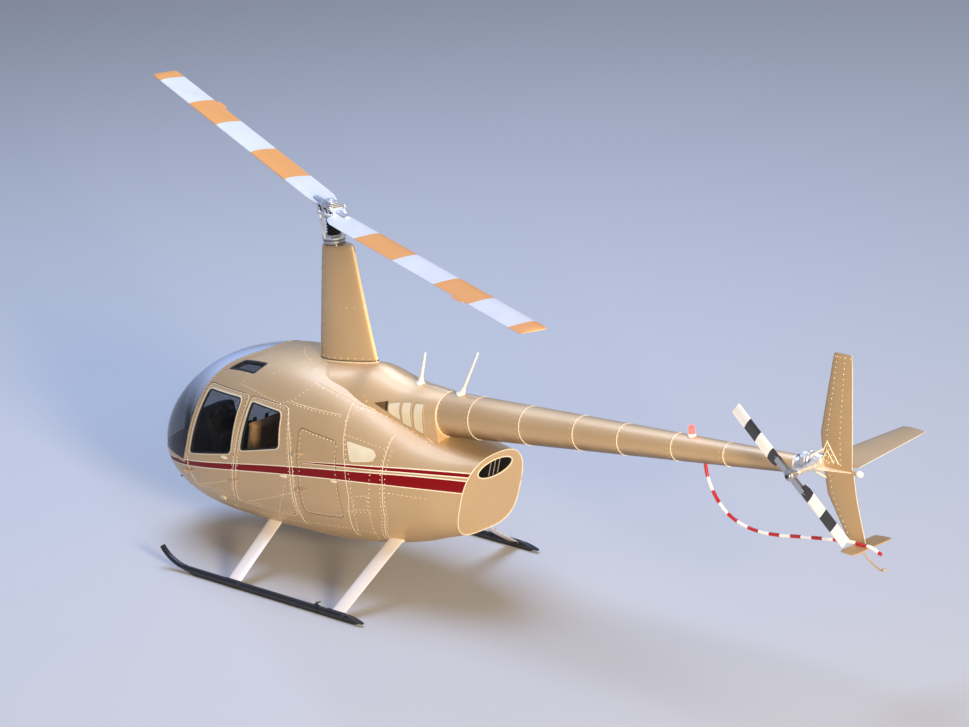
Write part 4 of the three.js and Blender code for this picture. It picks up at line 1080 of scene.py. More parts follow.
def hinge_halves(place, side):
    x, out, lean, heights, depth, frame_arm, leaf_arm = HINGES[place]
    deep = sorted((side * (out - depth), side * out))
    strap = sorted(side * (out + reach) for reach in STRAP_DEPTH)
    fixed, moving = [], []
    for z in heights:
        pin = x + lean * (z - heights[0])
        lift = BARREL["length"] + BARREL["gap"]
        arm = (z + ARM_INSET, z + BARREL["length"] - ARM_INSET)
        leaf = (z + lift + ARM_INSET, z + lift + BARREL["length"] - ARM_INSET)
        fixed += [
            barrel(pin, z, z + BARREL["length"], side, out, lean, z),
            block((pin + frame_arm[0], pin + frame_arm[1]), deep, arm),
        ]
        moving += [
            barrel(pin, z + lift, z + lift + BARREL["length"], side, out, lean, z),
            block((pin + STRAP_START, pin + leaf_arm[1]), strap, leaf),
            block((pin + leaf_arm[0], pin + leaf_arm[1]), deep, leaf),
        ]
    return [carved(parts[0], *plus(*parts[1:])) for parts in (fixed, moving)]


handle_sheet = hugging(body_solid, *HANDLE_SHEET)
lever_sheet = hugging(body_solid, *LEVER_SHEET)
for word, side in SIDES:
    for place, spot in HANDLES.items():
        body = f"{place}_{word}_door"
        fixed, moving = hinge_halves(place, side)
        show(f"{place}_hinge_frame_{word}", fixed, plain_gold)
        show(f"{place}_hinge_leaf_{word}", moving, plain_gold, body)
        plate = patch(handle_sheet, oval(*spot, HANDLE_PLATE), side)
        show(f"{place}_handle_plate_{word}", plate, cream_paint, body)
        lever = patch(lever_sheet, oval(*spot, LEVER), side)
        show(f"{place}_handle_lever_{word}", lever, pale_gold_and_painted_highlight, body)
fixed, moving = hinge_halves("baggage", -1)
show("baggage_hinge_frame", fixed, plain_gold)
show("baggage_hinge_leaf", moving, plain_gold, "baggage_lid")
lever = patch(lever_sheet, oval(*BAGGAGE_LEVER, LEVER), -1)
show("baggage_handle", lever, pale_gold_and_painted_highlight, "baggage_lid")


# The upper cowl is one moulded saddle behind the cabin roof. It carries the mast fairing's collar,
# narrows over the engine to the width of the tail cone, and takes in air through side louvres.
COWL_ROWS = [
    # x, height of the widest line, top, bottom, half width, squareness above and below, lean
    (-0.345, 1.800, 2.010, 1.500, 0.060, 2, 2, 0),
    (-0.260, 1.800, 2.018, 1.500, 0.260, 2, 2, 0),
    (0.000, 1.790, 2.038, 1.450, 0.400, 1.9, 2, 0),
    (0.340, 1.780, 2.064, 1.420, 0.352, 1.6, 2, 0),
    (0.540, 1.770, 2.074, 1.400, 0.336, 1.6, 2.2, 0),
    (0.800, 1.765, 2.012, 1.350, 0.300, 1.65, 2.5, 0),
    (1.000, 1.760, 1.978, 1.300, 0.268, 1.75, 3, 0),
    (1.200, 1.755, 1.968, 1.300, 0.240, 2, 4, -0.04),
    (1.395, 1.752, 1.960, 1.300, 0.217, 2, 5, -0.0848),
]
FAIRING_ROWS = [
    # height, middle x, half chord, half thickness
    (2.052, 0.093, 0.368, 0.128), (2.300, 0.082, 0.326, 0.122), (2.750, 0.068, 0.254, 0.105),
    (3.090, 0.061, 0.201, 0.092), (3.150, 0.059, 0.187, 0.084),
]
NECK_ROWS = [(1.700, 0.095, 0.390, 0.175), (1.960, 0.094, 0.378, 0.150), (2.0517, 0.093, 0.370, 0.130)]
FAIRING_TILT = 0.08
FAIRING_RIVET_HEIGHTS = (2.080, 2.560)
FRONT_ROW_SHARE = 0.60
FAIRING_TAPER = 0.42
FAIRING_POINTS = 64


def fairing_rings(rows, steps):
    angle = angles(FAIRING_POINTS)
    rings = []
    for z, x, chord, thick in smooth_rows(rows, steps):
        along = chord * np.cos(angle)
        y = thick * np.sin(angle) * (1 - FAIRING_TAPER * np.cos(angle))
        rings.append(np.stack([x + along, y, z + FAIRING_TILT * along], axis=1))
    return rings


LOUVRES = [
    [(0.863, 1.828), (0.978, 1.854), (0.998, 1.690), (0.869, 1.742)],
    [(1.010, 1.855), (1.105, 1.867), (1.122, 1.638), (1.020, 1.664)],
    [(1.153, 1.866), (1.248, 1.873), (1.254, 1.597), (1.153, 1.632)],
]
LOUVRE_FRAME = (0.010, 0.0)
LOUVRE_CORNER = 0.016
SCOOP = [(0.690, 1.812, 0.010), (0.843, 1.847, 0.010), (0.853, 1.748, 0.010)]
SCOOP_DEPTH = 0.035
SCOOP_RISE = 0.010
LOUVRE_SHEET = (0.0025, 0.004)
FRAME_SHEET = (0.0045, 0.004)
JUNCTION = [
    (0.065, -0.374, 1.909), (0.249, -0.375, 1.867), (0.446, -0.358, 1.818), (0.570, -0.349, 1.780),
    (0.698, -0.315, 1.751), (0.814, -0.267, 1.730), (0.975, -0.249, 1.673), (1.115, -0.227, 1.622),
    (1.243, -0.225, 1.574), (1.364, -0.236, 1.536),
]
cowl_solid = skinned(section_rings(COWL_ROWS, 6, 80))
cowl_surface = surface_of(cowl_solid)
neck_solid = skinned(fairing_rings(NECK_ROWS, 4))
cowl_rim = hugging(cowl_solid, SCOOP_RISE, SCOOP_DEPTH)
scoops = [patch(cowl_rim, SCOOP, side) for _, side in SIDES]
cowl_skin = show(
    "upper_cowl_skin", carved(cowl_solid, *plus(neck_solid), *less(body_solid, *scoops)), cowl_gold_painted_light,
    replaces="upper_cowl",
)
# The faces deep in the scoop's recess are dark tan, painted shade where the recess lies in shadow.
scoop_painted_shade = lining_finish("scoop_painted_shade", (0.22, 0.13, 0.06), 200.0)
cowl_skin.data.materials.append(scoop_painted_shade)
for face in cowl_skin.data.polygons:
    x, y, z = face.center
    deep = cowl_surface.find_nearest(face.center)[3] > 0.003
    if deep and SCOOP[0][0] < x - MAST_X < SCOOP[2][0] and abs(y) > 0.2 and z > SCOOP[2][1] - 0.02:
        face.material_index = 1
fairing_solid = skinned(fairing_rings(FAIRING_ROWS, 5))
fairing_surface = surface_of(fairing_solid)
show("mast_fairing_skin", fairing_solid, plain_gold, replaces="mast_fairing", crease=35)
louvre_sheet = hugging(cowl_solid, *LOUVRE_SHEET)
frame_sheet = hugging(cowl_solid, *FRAME_SHEET)
frame_gold = lining_finish("frame_gold", (0.50, 0.38, 0.24), 300.0)
# The collar's lip is a bead in the pale gold of painted highlight; its seal is dark rubber.
COLLAR_BEADS = [
    # piece, rise over the fairing's foot, radius, finish
    ("fairing_collar_lip", -0.006, 0.007, pale_gold_and_painted_highlight), ("fairing_collar_seal", 0.010, 0.0035, rubber_seal),
]
FOOT_ROW_RISE = 0.030
cowl_rows, cowl_beads = [], []
for word, side in SIDES:
    for number, corners in enumerate(LOUVRES, 1):
        outline = [(x, z, LOUVRE_CORNER) for x, z in corners]
        show(f"louvre_{number}_{word}", patch(louvre_sheet, outline, side), cream_paint)
        show(f"louvre_frame_{number}_{word}", ring(frame_sheet, outline, *LOUVRE_FRAME, side), frame_gold)
    joint = smooth_rows([(x, side * y, z) for x, y, z in JUNCTION], 5)
    cowl_beads.append(stuck(joint, body_surface, 0.001))
    cowl_rows.append(stuck(joint + np.array([0, side * -0.030, -0.020]), body_surface))
    cowl_rows.append(dropped([(0.560, 1.860), (0.700, 1.720)], cowl_surface, side))
base_ring = fairing_rings(FAIRING_ROWS[:2], 1)[0]
for name, rise, radius, finish in COLLAR_BEADS:
    places = shifted(np.vstack([base_ring, base_ring[:2]]) + np.array([0, 0, rise]))
    beaded(name, [[(place, (0, 0, 1)) for place in places]], radius, finish, slot="body_paint")
fairing_rows = []
for _, side in SIDES:
    for height in FAIRING_RIVET_HEIGHTS:
        row = [(x, height + FAIRING_TILT * x) for x in (-0.230, 0.0, 0.340)]
        fairing_rows.append(dropped(row, fairing_surface, side))
    row = [
        (x - chord * FRONT_ROW_SHARE, z - FAIRING_TILT * chord * FRONT_ROW_SHARE)
        for z, x, chord, _ in smooth_rows(FAIRING_ROWS, 4)[1:-1]
    ]
    fairing_rows.append(dropped(row, fairing_surface, side))
# The bead down the fairing's rear edge is painted highlight, the bright line of the lit edge.
rear_edge = [
    fairing_surface.ray_cast(Vector((FAR, 0, height)), Vector((-1, 0, 0)))[:2]
    for height in np.linspace(2.10, 3.10, 14)
]
beaded("fairing_rear_bead", [rear_edge], 0.005)
foot_row = np.vstack([base_ring, base_ring[:1]]) + np.array([0, 0, FOOT_ROW_RISE])
fairing_rows.append(stuck(foot_row, fairing_surface))
FAIRING_RIVETS = {"spacing": 0.075, "radius": 0.0046}
riveted("fairing_rivets", fairing_rows, **FAIRING_RIVETS)
riveted("cowl_rivets", cowl_rows, spacing=0.060)
# The bead along the cowl's joint with the body is painted highlight in pale gold.
beaded("cowl_joint_bead", cowl_beads, 0.005)


# The tail cone is rolled sheet in short lengths, each end lapped over the next and riveted. It is a
# straight taper that carries the strobe, the rear aerial, the guard tube and the tail gearbox.
CONE_FRONT = {"x": 1.3956, "z": 1.750, "radius": 0.207}
CONE_END = {"x": 5.600, "z": 2.106, "radius": 0.082}
CONE_LAPS = (1.80, 2.43, 3.08, 3.61, 4.24, 4.84)
CONE_SIDES = 72
LAP_RISE = 0.0025
# Painted shade: the colour that darkens the cone's underside, and how far it goes.
UNDERSIDE_PAINTED_SHADE = (0.10, 0.055, 0.03, 1)
UNDERSIDE_PAINTED_SHADE_SHARE = 0.85


def cone_at(x):
    share = (x - CONE_FRONT["x"]) / (CONE_END["x"] - CONE_FRONT["x"])
    return [share * (CONE_END[key] - CONE_FRONT[key]) + CONE_FRONT[key] for key in ("z", "radius")]


def cone_ring(x, rise=0.0):
    """A ring square to the cone's own slanted axis."""
    z, radius = cone_at(x)
    slant = math.atan2(CONE_END["z"] - CONE_FRONT["z"], CONE_END["x"] - CONE_FRONT["x"])
    angle = angles(CONE_SIDES)
    out, y = (radius + rise) * np.sin(angle), (radius + rise) * np.cos(angle)
    return np.stack([x - out * math.sin(slant), y, z + out * math.cos(slant)], axis=1)


def gold_with_painted_underside_shade():
    """The gold paint with painted shade, darker towards the underside of the cone."""
    finish = Finish("gold_paint_painted_underside_shade")
    x, y, z = finish.place()
    middle, radius = cone_at(x)
    height = (z - middle) / radius
    painted_shade_ramp = finish.add("ShaderNodeMapRange", {"interpolation_type": "SMOOTHSTEP"}, {
        0: height + finish.noise(5.0, 4.0) * 0.3, 1: 0.05, 2: -0.75, 3: 0.0, 4: UNDERSIDE_PAINTED_SHADE_SHARE,
    })
    colour = finish.mix(finish.noise(2.2, 3.0), GOLD, GOLD_DEEP)
    finish.set(Metallic=PAINT_METALLIC, Coat_Weight=PAINT_COAT)
    return sprayed(finish, finish.mix(Wire(finish, painted_shade_ramp.outputs[0]), colour, UNDERSIDE_PAINTED_SHADE))


cone_gold = gold_with_painted_underside_shade()
cone_rings = [cone_ring(CONE_FRONT["x"])]
for lap in CONE_LAPS:
    cone_rings += [cone_ring(lap - 0.025), cone_ring(lap - 0.024, LAP_RISE)]
    cone_rings += [cone_ring(lap, LAP_RISE), cone_ring(lap + 0.001)]
cone_rings.append(cone_ring(CONE_END["x"]))
show("tail_cone_skin", skinned(cone_rings), cone_gold, replaces="tail_cone")


def cone_row(x, rise):
    """One ring on the cone, closed, with its ways out."""
    places = cone_ring(x, rise)
    places = np.vstack([places, places[:2]])
    z, _ = cone_at(x)
    ways = places - np.array([x, 0, z])
    ways /= np.linalg.norm(ways, axis=1)[:, None]
    return list(zip(shifted(places), ways))


lap_beads = [cone_row(lap, 0.001) for lap in CONE_LAPS]
lap_rows = [cone_row(lap - step, 0.0) for lap in (*CONE_LAPS, 5.580) for step in (-0.016, 0.040)]
lap_rows += [cone_row(CONE_FRONT["x"] + 0.03, 0.0)]
CONE_RIVETS = {"spacing": 0.045, "radius": 0.0038, "height": 0.0016}
# The lap beads and the front lip are in the pale gold of painted highlight, bright rings where the laps
# catch the light.
beaded("cone_lap_beads", lap_beads, 0.0032)
beaded("cone_front_lip", [cone_row(CONE_FRONT["x"] + 0.004, -0.001)], 0.006)
riveted("cone_rivets", lap_rows, **CONE_RIVETS)


# The aerials are white whips on streamlined feet: one on the cowl's end and one on the tail cone.
# The strobe is a red glass beaker on a short base near the guard tube.
WHITE = (0.88, 0.86, 0.82, 1)
AERIAL_RISES = (0, 0.02, 0.06, 0.09)
AERIAL_RADII = (0.050, 0.034, 0.021, 0.016, 0.011)


def gloss(name, slot, colour, roughness=0.28, metallic=0.0, coat=0.3, grain=400.0, depth=0.1):
    """Sprayed or moulded smooth finish with faint orange peel."""
    finish = Finish(name, slot)
    finish.bump(finish.noise(grain, 2.0), depth, 0.0006)
    shade = tuple(channel * 0.82 for channel in colour[:3])
    return finish.set(
        Base_Color=finish.mix(finish.noise(3.0, 4.0), colour, (*shade, 1)),
        Roughness=finish.noise(9.0, 3.0) * 0.14 + roughness - 0.05, Metallic=metallic, Coat_Weight=coat,
        Coat_Roughness=0.1,
    )


white_gloss = gloss("white_gloss", "pale_paint", WHITE)


def tube(points, radii, sides=20, steps=6):
    """A round bar through given points, with its length along U of its UV map."""
    run = smooth_rows([(*point, radius) for point, radius in zip(points, radii)], steps)
    places, sizes = run[:, :3], run[:, 3]
    ahead = np.gradient(places, axis=0)
    ahead /= np.linalg.norm(ahead, axis=1)[:, None]
    helper = np.array([0.0, 1.0, 0.0]) if abs(ahead[0][1]) < 0.9 else np.array([1.0, 0.0, 0.0])
    rings = []
    angle = angles(sides)
    for place, size_here, forward in zip(places, sizes, ahead):
        first = np.cross(forward, helper)
        first /= np.linalg.norm(first)
        second = np.cross(forward, first)
        helper = np.cross(first, forward)
        rings.append(place + size_here * (np.outer(np.cos(angle), first) + np.outer(np.sin(angle), second)))
    mesh = skinned(rings)
    travelled = np.concatenate([[0], np.cumsum(np.linalg.norm(np.diff(places, axis=0), axis=1))])
    along = np.concatenate([np.repeat(travelled, sides), [0, travelled[-1]]])
    layer = mesh.uv_layers.new(name="length")
    corner = np.empty(len(mesh.loops), int)
    mesh.loops.foreach_get("vertex_index", corner)
    layer.data.foreach_set("uv", np.stack([along[corner], np.zeros(len(corner))], axis=1).ravel())
    return mesh


def aerial(name, base, tip, node):
    (x, z), (tip_x, tip_z) = base, tip
    lean = (tip_x - x) / (tip_z - z)
    run = [(x + lean * rise, 0, z + rise) for rise in AERIAL_RISES] + [(tip_x, 0, tip_z)]
    show(name, tube(run, AERIAL_RADII, 16), white_gloss, replaces=node)


aerial("front_aerial", (1.010, 1.975), (1.105, 2.283), "aerial_front")
cone_z, cone_radius = cone_at(1.540)
aerial("rear_aerial", (1.540, cone_z + cone_radius), (1.796, 2.404), "aerial_rear")
lead_starts = [(1.060, 0, 2.05), (1.225, 0, 2.02), (1.385, 0, 1.99)]
front_lead = stuck(lead_starts, cowl_surface)
rear_lead = [((x + MAST_X, 0, sum(cone_at(x))), (0, 0, 1)) for x in np.linspace(1.590, 1.775, 8)]
beaded("aerial_leads", [front_lead, rear_lead], 0.0035, white_gloss)
strobe_glass = Finish("strobe_red_glass", "strobe_red")
strobe_glass.set(Base_Color=(0.75, 0.01, 0.01, 1), Roughness=0.08, Coat_Weight=1.0)
strobe_glass.set(Emission_Color=(1.0, 0.11, 0.09, 1), Emission_Strength=2.6)
STROBE_X = 4.390
STROBE_BASE = [(0.040, 0), (0.040, 0.016), (0.033, 0.026)]
STROBE_LENS = [
    (0.029, 0.024), (0.032, 0.030), (0.031, 0.062), (0.027, 0.088), (0.015, 0.102), (0.004, 0.105),
]
strobe_z, strobe_radius = cone_at(STROBE_X)
strobe_foot = (STROBE_X, 0, strobe_z + strobe_radius - 0.004)
show("strobe_base", turned(STROBE_BASE, strobe_foot), white_gloss)
show("strobe_lens", turned(STROBE_LENS, strobe_foot), strobe_glass.material, replaces="strobe_light")


# The fins and the stabilizer are riveted sheet over ribs, with rounded noses and thin rear edges.
# The upper fin leans aft as it rises, the lower one carries a flat end plate and the tail skid.
AIRFOIL = 0.5 * (1 - np.cos(np.linspace(0, np.pi, 18)))
SECTION_FACTORS = (0.2969, -0.126, -0.3516, 0.2843, -0.1015)


def wing_section(chord, thickness, edge=0.0012):
    t = AIRFOIL
    powers = (np.sqrt(t), t, t ** 2, t ** 3, t ** 4)
    half = 5 * thickness * sum(factor * power for factor, power in zip(SECTION_FACTORS, powers))
    half = np.where(t > 0, np.maximum(half, edge), 0)
    upper, lower = [np.stack([t * chord, way * half], axis=1) for way in (1, -1)]
    return np.vstack([upper, lower[:0:-1]])


def wing(stations, place):
    """A wing through stations of nose, tail, span and thickness; `place` turns them into points."""
    rings = []
    for nose, tail, span, thickness in stations:
        flat = wing_section(tail - nose, thickness)
        rings.append(np.array([place(nose + along, out, span) for along, out in flat]))
    return skinned(rings)


def upright(x, y, z):
    return x, y, z


UPPER_FIN = [
    (5.898, 6.217, 2.1653, 0.046), (5.888, 6.236, 2.450, 0.046), (6.078, 6.281, 3.175, 0.026),
    (6.092, 6.278, 3.190, 0.018),
]
LOWER_FIN = [(5.900, 6.229, 2.165, 0.046), (5.930, 6.252, 1.910, 0.046), (6.136, 6.327, 1.530, 0.034)]
STABILIZER = [(5.840, 6.268, 0.027, 0.050), (5.895, 6.152, 1.020, 0.034), (5.910, 6.146, 1.040, 0.022)]
STABILIZER_Z = 2.192
FIN_EDGE = 0.0036
FIN_GUSSETS = [
    ("upper_fin", [(5.863, 2.200), (5.973, 2.387), (6.086, 2.200)]),
    ("upper_fin", [(5.895, 2.200), (5.965, 2.305), (6.035, 2.200)]),
]
RIB_SHARES = {"upper_fin": (0.24, 0.64), "lower_fin": (0.22,), "stabilizer": ()}
fin_rows, fin_edges, gusset_beads = [], [], []


def flat_way(x, out, y):
    return x, y, STABILIZER_Z + out


def station(stations, span):
    """The nose and tail of a wing at a span between its stations."""
    table = sorted(stations, key=lambda row: row[2])
    spans = [row[2] for row in table]
    return [float(np.interp(span, spans, [row[k] for row in table])) for k in (0, 1)]


for name, stations, place, across_way in (
    ("upper_fin", UPPER_FIN, upright, (0, 1, 0)), ("lower_fin", LOWER_FIN, upright, (0, 1, 0)),
    ("stabilizer", STABILIZER, flat_way, (0, 0, 1)),
):
    fin = wing(stations, place)
    surface = surface_of(fin)
    show(f"{name}_skin", fin, plain_gold if name == "stabilizer" else fin_gold_painted_shade, replaces=name)
    spans = sorted((stations[0][2], stations[-1][2]))
    levels = np.linspace(spans[0] + 0.03, spans[1] - 0.03, 12)
    for share in RIB_SHARES[name]:
        for sign in (-1, 1):
            row = []
            for span in levels:
                nose, tail = station(stations, span)
                row.append(place(nose + (tail - nose) * share, sign * 0.03, span))
            fin_rows.append(stuck(row, surface))
    if name == "upper_fin":
        nose, tail = station(stations, levels[-1])
        for sign in (-1, 1):
            row = [
                place(nose + (tail - nose) * share, sign * 0.03, levels[-1])
                for share in (0.12, 0.5, 0.92)
            ]
            fin_rows.append(stuck(row, surface))
    for owner, corners in FIN_GUSSETS:
        if owner == name:
            gusset_beads += [dropped(corners, surface, side, 0.001) for _, side in SIDES]
            middle = np.mean(corners, axis=0)
            inner = [tuple(middle + (np.array(corner) - middle) * 0.6) for corner in corners]
            fin_rows += [dropped(inner, surface, side) for _, side in SIDES]
    edge = [place(station(stations, span)[1] - 0.002, 0, span) for span in np.linspace(*spans, 10)]
    fin_edges.append([(point, across_way) for point in shifted(edge)])
riveted("fin_rivets", fin_rows, spacing=0.048, radius=0.0046)
beaded("fin_gusset_beads", gusset_beads, 0.0045)
# The cream bead on each rear edge is painted highlight, the bright line where the thin edge catches the
# light.
beaded("fin_edge_beads", fin_edges, FIN_EDGE, cream_paint)


# The tail light is a clear lamp on a gold foot behind the fin, and the tail skid a bent bar that ends
# in a ball, so that a low tail touches the ground gently.
TAIL_LIGHT_Z = 2.150
TAIL_LIGHT_FOOT = [(0.018, -0.010), (0.020, 0.030), (0.027, 0.036), (0.027, 0.044)]
TAIL_LIGHT = [(0.026, 0.0443), (0.030, 0.056), (0.030, 0.072), (0.022, 0.090), (0.006, 0.098)]
TAIL_SKID = [
    (6.262, 0, 1.5170), (6.262, 0, 1.500), (6.280, 0, 1.460), (6.380, 0, 1.380), (6.470, 0, 1.335),
    (6.515, 0, 1.343),
]
lamp_white = lining_finish("lamp_white", (0.85, 0.85, 0.82), 60.0, "pale_paint")
show(
    "tail_lamp", turned(TAIL_LIGHT, (6.2335, 0, TAIL_LIGHT_Z), (1, 0, 0), 28), lamp_white,
    replaces="tail_light",
)
show("tail_lamp_foot", turned(TAIL_LIGHT_FOOT, (6.2335, 0, TAIL_LIGHT_Z), (1, 0, 0), 28), plain_gold)
skid_ball = turned(
    [(0.017 * math.sin(a), -0.017 * math.cos(a)) for a in np.linspace(0.15, math.pi - 0.15, 12)],
    (6.518, 0, 1.343), (0.95, 0, -0.2), 24,
)
skid_bar = carved(tube(TAIL_SKID, (0.013, 0.011, 0.009, 0.0085, 0.008, 0.008), 20), *plus(skid_ball))
show("tail_skid_bar", skid_bar, frame_gold, replaces="tail_skid", slot="bare_metal")


# The landing gear is two bowed cross tubes in ivory streamlined covers on black steel skids. Each
# skid has a turned-up toe, a wear shoe underneath and a bracket for ground-handling wheels.
SKID_Y = 1.140
SKID_PATH = [
    (-1.514, 0.208), (-1.468, 0.160), (-1.400, 0.112), (-1.300, 0.072), (-1.190, 0.053),
    (-1.100, 0.050), (0.000, 0.050), (1.215, 0.050),
]
SKID_RADIUS = 0.0275
LEGS = {
    # foot x and z, root x and z, chord at the foot and at the root
    "front": ((-0.535, 0.060), (-0.622, 0.500), (0.170, 0.176)),
    "rear": ((0.878, 0.060), (0.970, 0.585), (0.170, 0.176)),
}
LEG_ROOT_Y = 0.400
LEG_THICKNESS = 0.046
ivory_gloss = gloss("ivory_gloss", "pale_paint", (0.86, 0.77, 0.68, 1))
skid_black = gloss("skid_black", "skid_black", (0.014, 0.015, 0.019, 1), 0.42, 0.2, 0.2, 60.0, 0.25)


def leg_ring(x, y, z, chord):
    angle = angles(40)
    out = LEG_THICKNESS / 2 * np.sin(angle) * (1 - 0.3 * np.cos(angle))
    return np.stack([x + chord / 2 * np.cos(angle), y + out, np.full(40, z)], axis=1)


for place, (foot, root, chord) in LEGS.items():
    legs = []
    for word, side in SIDES:
        y_foot = side * (SKID_Y - 0.008)
        low, high = np.array([foot[0], y_foot, foot[1]]), np.array([root[0], side * LEG_ROOT_Y, root[1]])
        rings = [
            leg_ring(*low * (1 - t) + high * t, chord[0] * (1 - t) + chord[1] * t)
            for t in np.linspace(0, 1, 9)
        ]
        legs.append(skinned(rings))
    cross = [(root[0], end, root[1] - 0.035) for end in (-0.41, 0.0, 0.41)]
    legs.append(tube(cross, (0.03, 0.03, 0.03)))
    gear = carved(legs[0], *plus(legs[1], legs[2]))
    show(f"{place}_legs", gear, ivory_gloss, replaces=f"{place}_gear_legs")
SHOE = [(-1.200, 0.035, 0), (-1.080, 0.001, 0), (1.110, 0.001, 0), (1.190, 0.030, 0)]
SHOE_HALF = 0.014
SKID_TIP = [(0.990, 0.084, 0), (1.260, 0.020, 0), (1.260, 0.200, 0), (0.990, 0.200, 0)]
CLAMPS = (0.610, 0.775)
CLAMP_RADIUS = 0.034
CLAMP_HALF = 0.014
SADDLE = {"half": 0.105, "radius": 0.0315}
for word, side in SIDES:
    y = side * SKID_Y
    path = [(x, y, z) for x, z in SKID_PATH]
    runner = tube(path, [SKID_RADIUS] * len(path), 28, 5)
    tip = prism(SKID_TIP, "y", y - 0.08, y + 0.08)
    shoe = prism(SHOE, "y", y - SHOE_HALF, y + SHOE_HALF)
    rings = [
        turned(
            [
                (0.020, -CLAMP_HALF), (CLAMP_RADIUS, -CLAMP_HALF), (CLAMP_RADIUS, CLAMP_HALF),
                (0.020, CLAMP_HALF),
            ],
            (x, y, 0.050), (1, 0, 0), 28,
        )
        for x in CLAMPS
    ]
    lug = turned([(0.011, 0), (0.011, 0.034), (0.008, 0.040)], (CLAMPS[0], y - side * 0.004, 0.072))
    bolt = turned([(0.006, -0.046), (0.006, 0.046)], (CLAMPS[0] + 0.004, y, 0.100), (0, 1, 0), 12)
    saddles = [
        turned(
            [
                (0.020, -SADDLE["half"]), (SADDLE["radius"], -SADDLE["half"] + 0.01),
                (SADDLE["radius"], SADDLE["half"] - 0.01), (0.020, SADDLE["half"]),
            ],
            (foot[0], y, 0.050), (1, 0, 0), 28,
        )
        for foot, _, _ in LEGS.values()
    ]
    parts = [shoe, *rings, lug, bolt, *saddles]
    whole = carved(runner, *less(tip), *plus(*parts))
    show(f"skid_{word}_tube", whole, skid_black, replaces=f"skid_{word}")


# The guard is one bent tube that keeps the tail rotor out of reach. It hangs from the tail cone, bows
# forward and runs aft beside the lower fin, painted in red and white bands.
GUARD_Y = -0.052
GUARD_PATH = [
    (4.538, -0.008, 1.905), (4.553, -0.010, 1.800), (4.593, -0.015, 1.705), (4.677, -0.022, 1.588),
    (4.786, -0.028, 1.497), (4.930, -0.033, 1.440), (5.127, -0.038, 1.412), (5.357, -0.042, 1.425),
    (5.700, -0.046, 1.478), (6.040, GUARD_Y, 1.528), (6.200, GUARD_Y, 1.546), (6.320, GUARD_Y, 1.543),
    (6.430, GUARD_Y, 1.542), (6.540, GUARD_Y, 1.500),
]
BAND_LENGTH = 0.125
GUARD_RADIUS = 0.0160
guard_paint = Finish("guard_bands", "pale_paint")
guard_uv = guard_paint.add("ShaderNodeUVMap", {"uv_map": "length"}, {})
guard_split = guard_paint.add("ShaderNodeSeparateXYZ", {}, {0: Wire(guard_paint, guard_uv.outputs[0])})
guard_red = (Wire(guard_paint, guard_split.outputs[0]) % (2 * BAND_LENGTH)) < BAND_LENGTH
guard_paint.set(
    Base_Color=guard_paint.mix(guard_red, WHITE, (0.45, 0.012, 0.014, 1)),
    Roughness=guard_paint.noise(9.0, 3.0) * 0.15 + 0.28, Coat_Weight=0.3,
)
guard = tube(GUARD_PATH, [GUARD_RADIUS] * len(GUARD_PATH), 20, 6)
show("guard_tube", guard, guard_paint.material, replaces="tail_rotor_guard")


# The rotors: two stainless-nosed blades on a teetering hub, and two short blades on the tail hub.
# Bands of orange, white and black make the turning discs easy to see.
ROTOR_HEIGHT = 3.452
ROTOR_RADIUS = 5.030
ROTOR_HEADING = math.radians(157)
ROTOR_CONING = math.radians(2.5)
ORANGE_BANDS = ((0.22, 0.41), (0.61, 0.77), (0.95, 1.1))
ORANGE = (0.92, 0.36, 0.075, 1)
BLADE_WHITES = ((0.90, 0.82, 0.72, 1), (0.74, 0.68, 0.61, 1))
TAIL_ROTOR = {"x": 5.856, "y": -0.375, "z": 2.166, "radius": 0.760, "chord": 0.128}
TAIL_HEADING = math.radians(138)
BLACK_BAND = (0.58, 0.78)
WHITE_START = 0.36


def between(wire, low, high):
    return (wire > low) * (wire < high)


blade_paint = Finish("blade_bands", "blade_paint")
x, y, z = blade_paint.place()
reach = (x * x + y * y) ** 0.5 / ROTOR_RADIUS
orange = sum((between(reach, *band) for band in ORANGE_BANDS[1:]), between(reach, *ORANGE_BANDS[0]))
blade_paint.bump(blade_paint.noise(120.0, 2.0), 0.05, 0.0006)
blade_paint.set(
    Base_Color=blade_paint.mix(orange, blade_paint.mix(blade_paint.noise(4.0, 4.0), *BLADE_WHITES), ORANGE),
    Roughness=blade_paint.noise(7.0, 3.0) * 0.16 + 0.32, Coat_Weight=0.2,
)


def blade_point(turn_sign, along, thick, span):
    """A point of a main blade from chord, thickness and span, coned and turned to its heading."""
    r = span * math.cos(ROTOR_CONING) - thick * math.sin(ROTOR_CONING)
    height = ROTOR_HEIGHT + span * math.sin(ROTOR_CONING) + thick * math.cos(ROTOR_CONING)
    east, north = turn_sign * r, turn_sign * -along
    c, s = math.cos(ROTOR_HEADING), math.sin(ROTOR_HEADING)
    return east * c - north * s, east * s + north * c, height


MAIN_STATIONS = [
    (-0.046, 0.120, 0.215, 0.058), (-0.056, 0.160, 0.300, 0.052), (-0.064, 0.188, 0.440, 0.040),
    (-0.064, 0.192, 0.620, 0.032), (-0.064, 0.192, 4.900, 0.028), (-0.060, 0.188, 5.000, 0.022),
    (-0.050, 0.180, 5.030, 0.010),
]
TRIM_TAB = [(0.186, -0.001), (0.222, -0.001), (0.222, 0.001), (0.186, 0.001)]
TRIM_TAB_SPAN = (3.55, 3.78)
for word, sign in (("a", 1), ("b", -1)):
    blade = wing(MAIN_STATIONS, lambda along, thick, span: blade_point(sign, along, thick, span))
    tab = [[blade_point(sign, along, thick, span) for along, thick in TRIM_TAB] for span in TRIM_TAB_SPAN]
    blade = carved(blade, *plus(skinned(np.array(tab))))
    show(f"main_rotor_blade_{word}", blade, blade_paint.material, "main_rotor", f"main_blade_{word}")


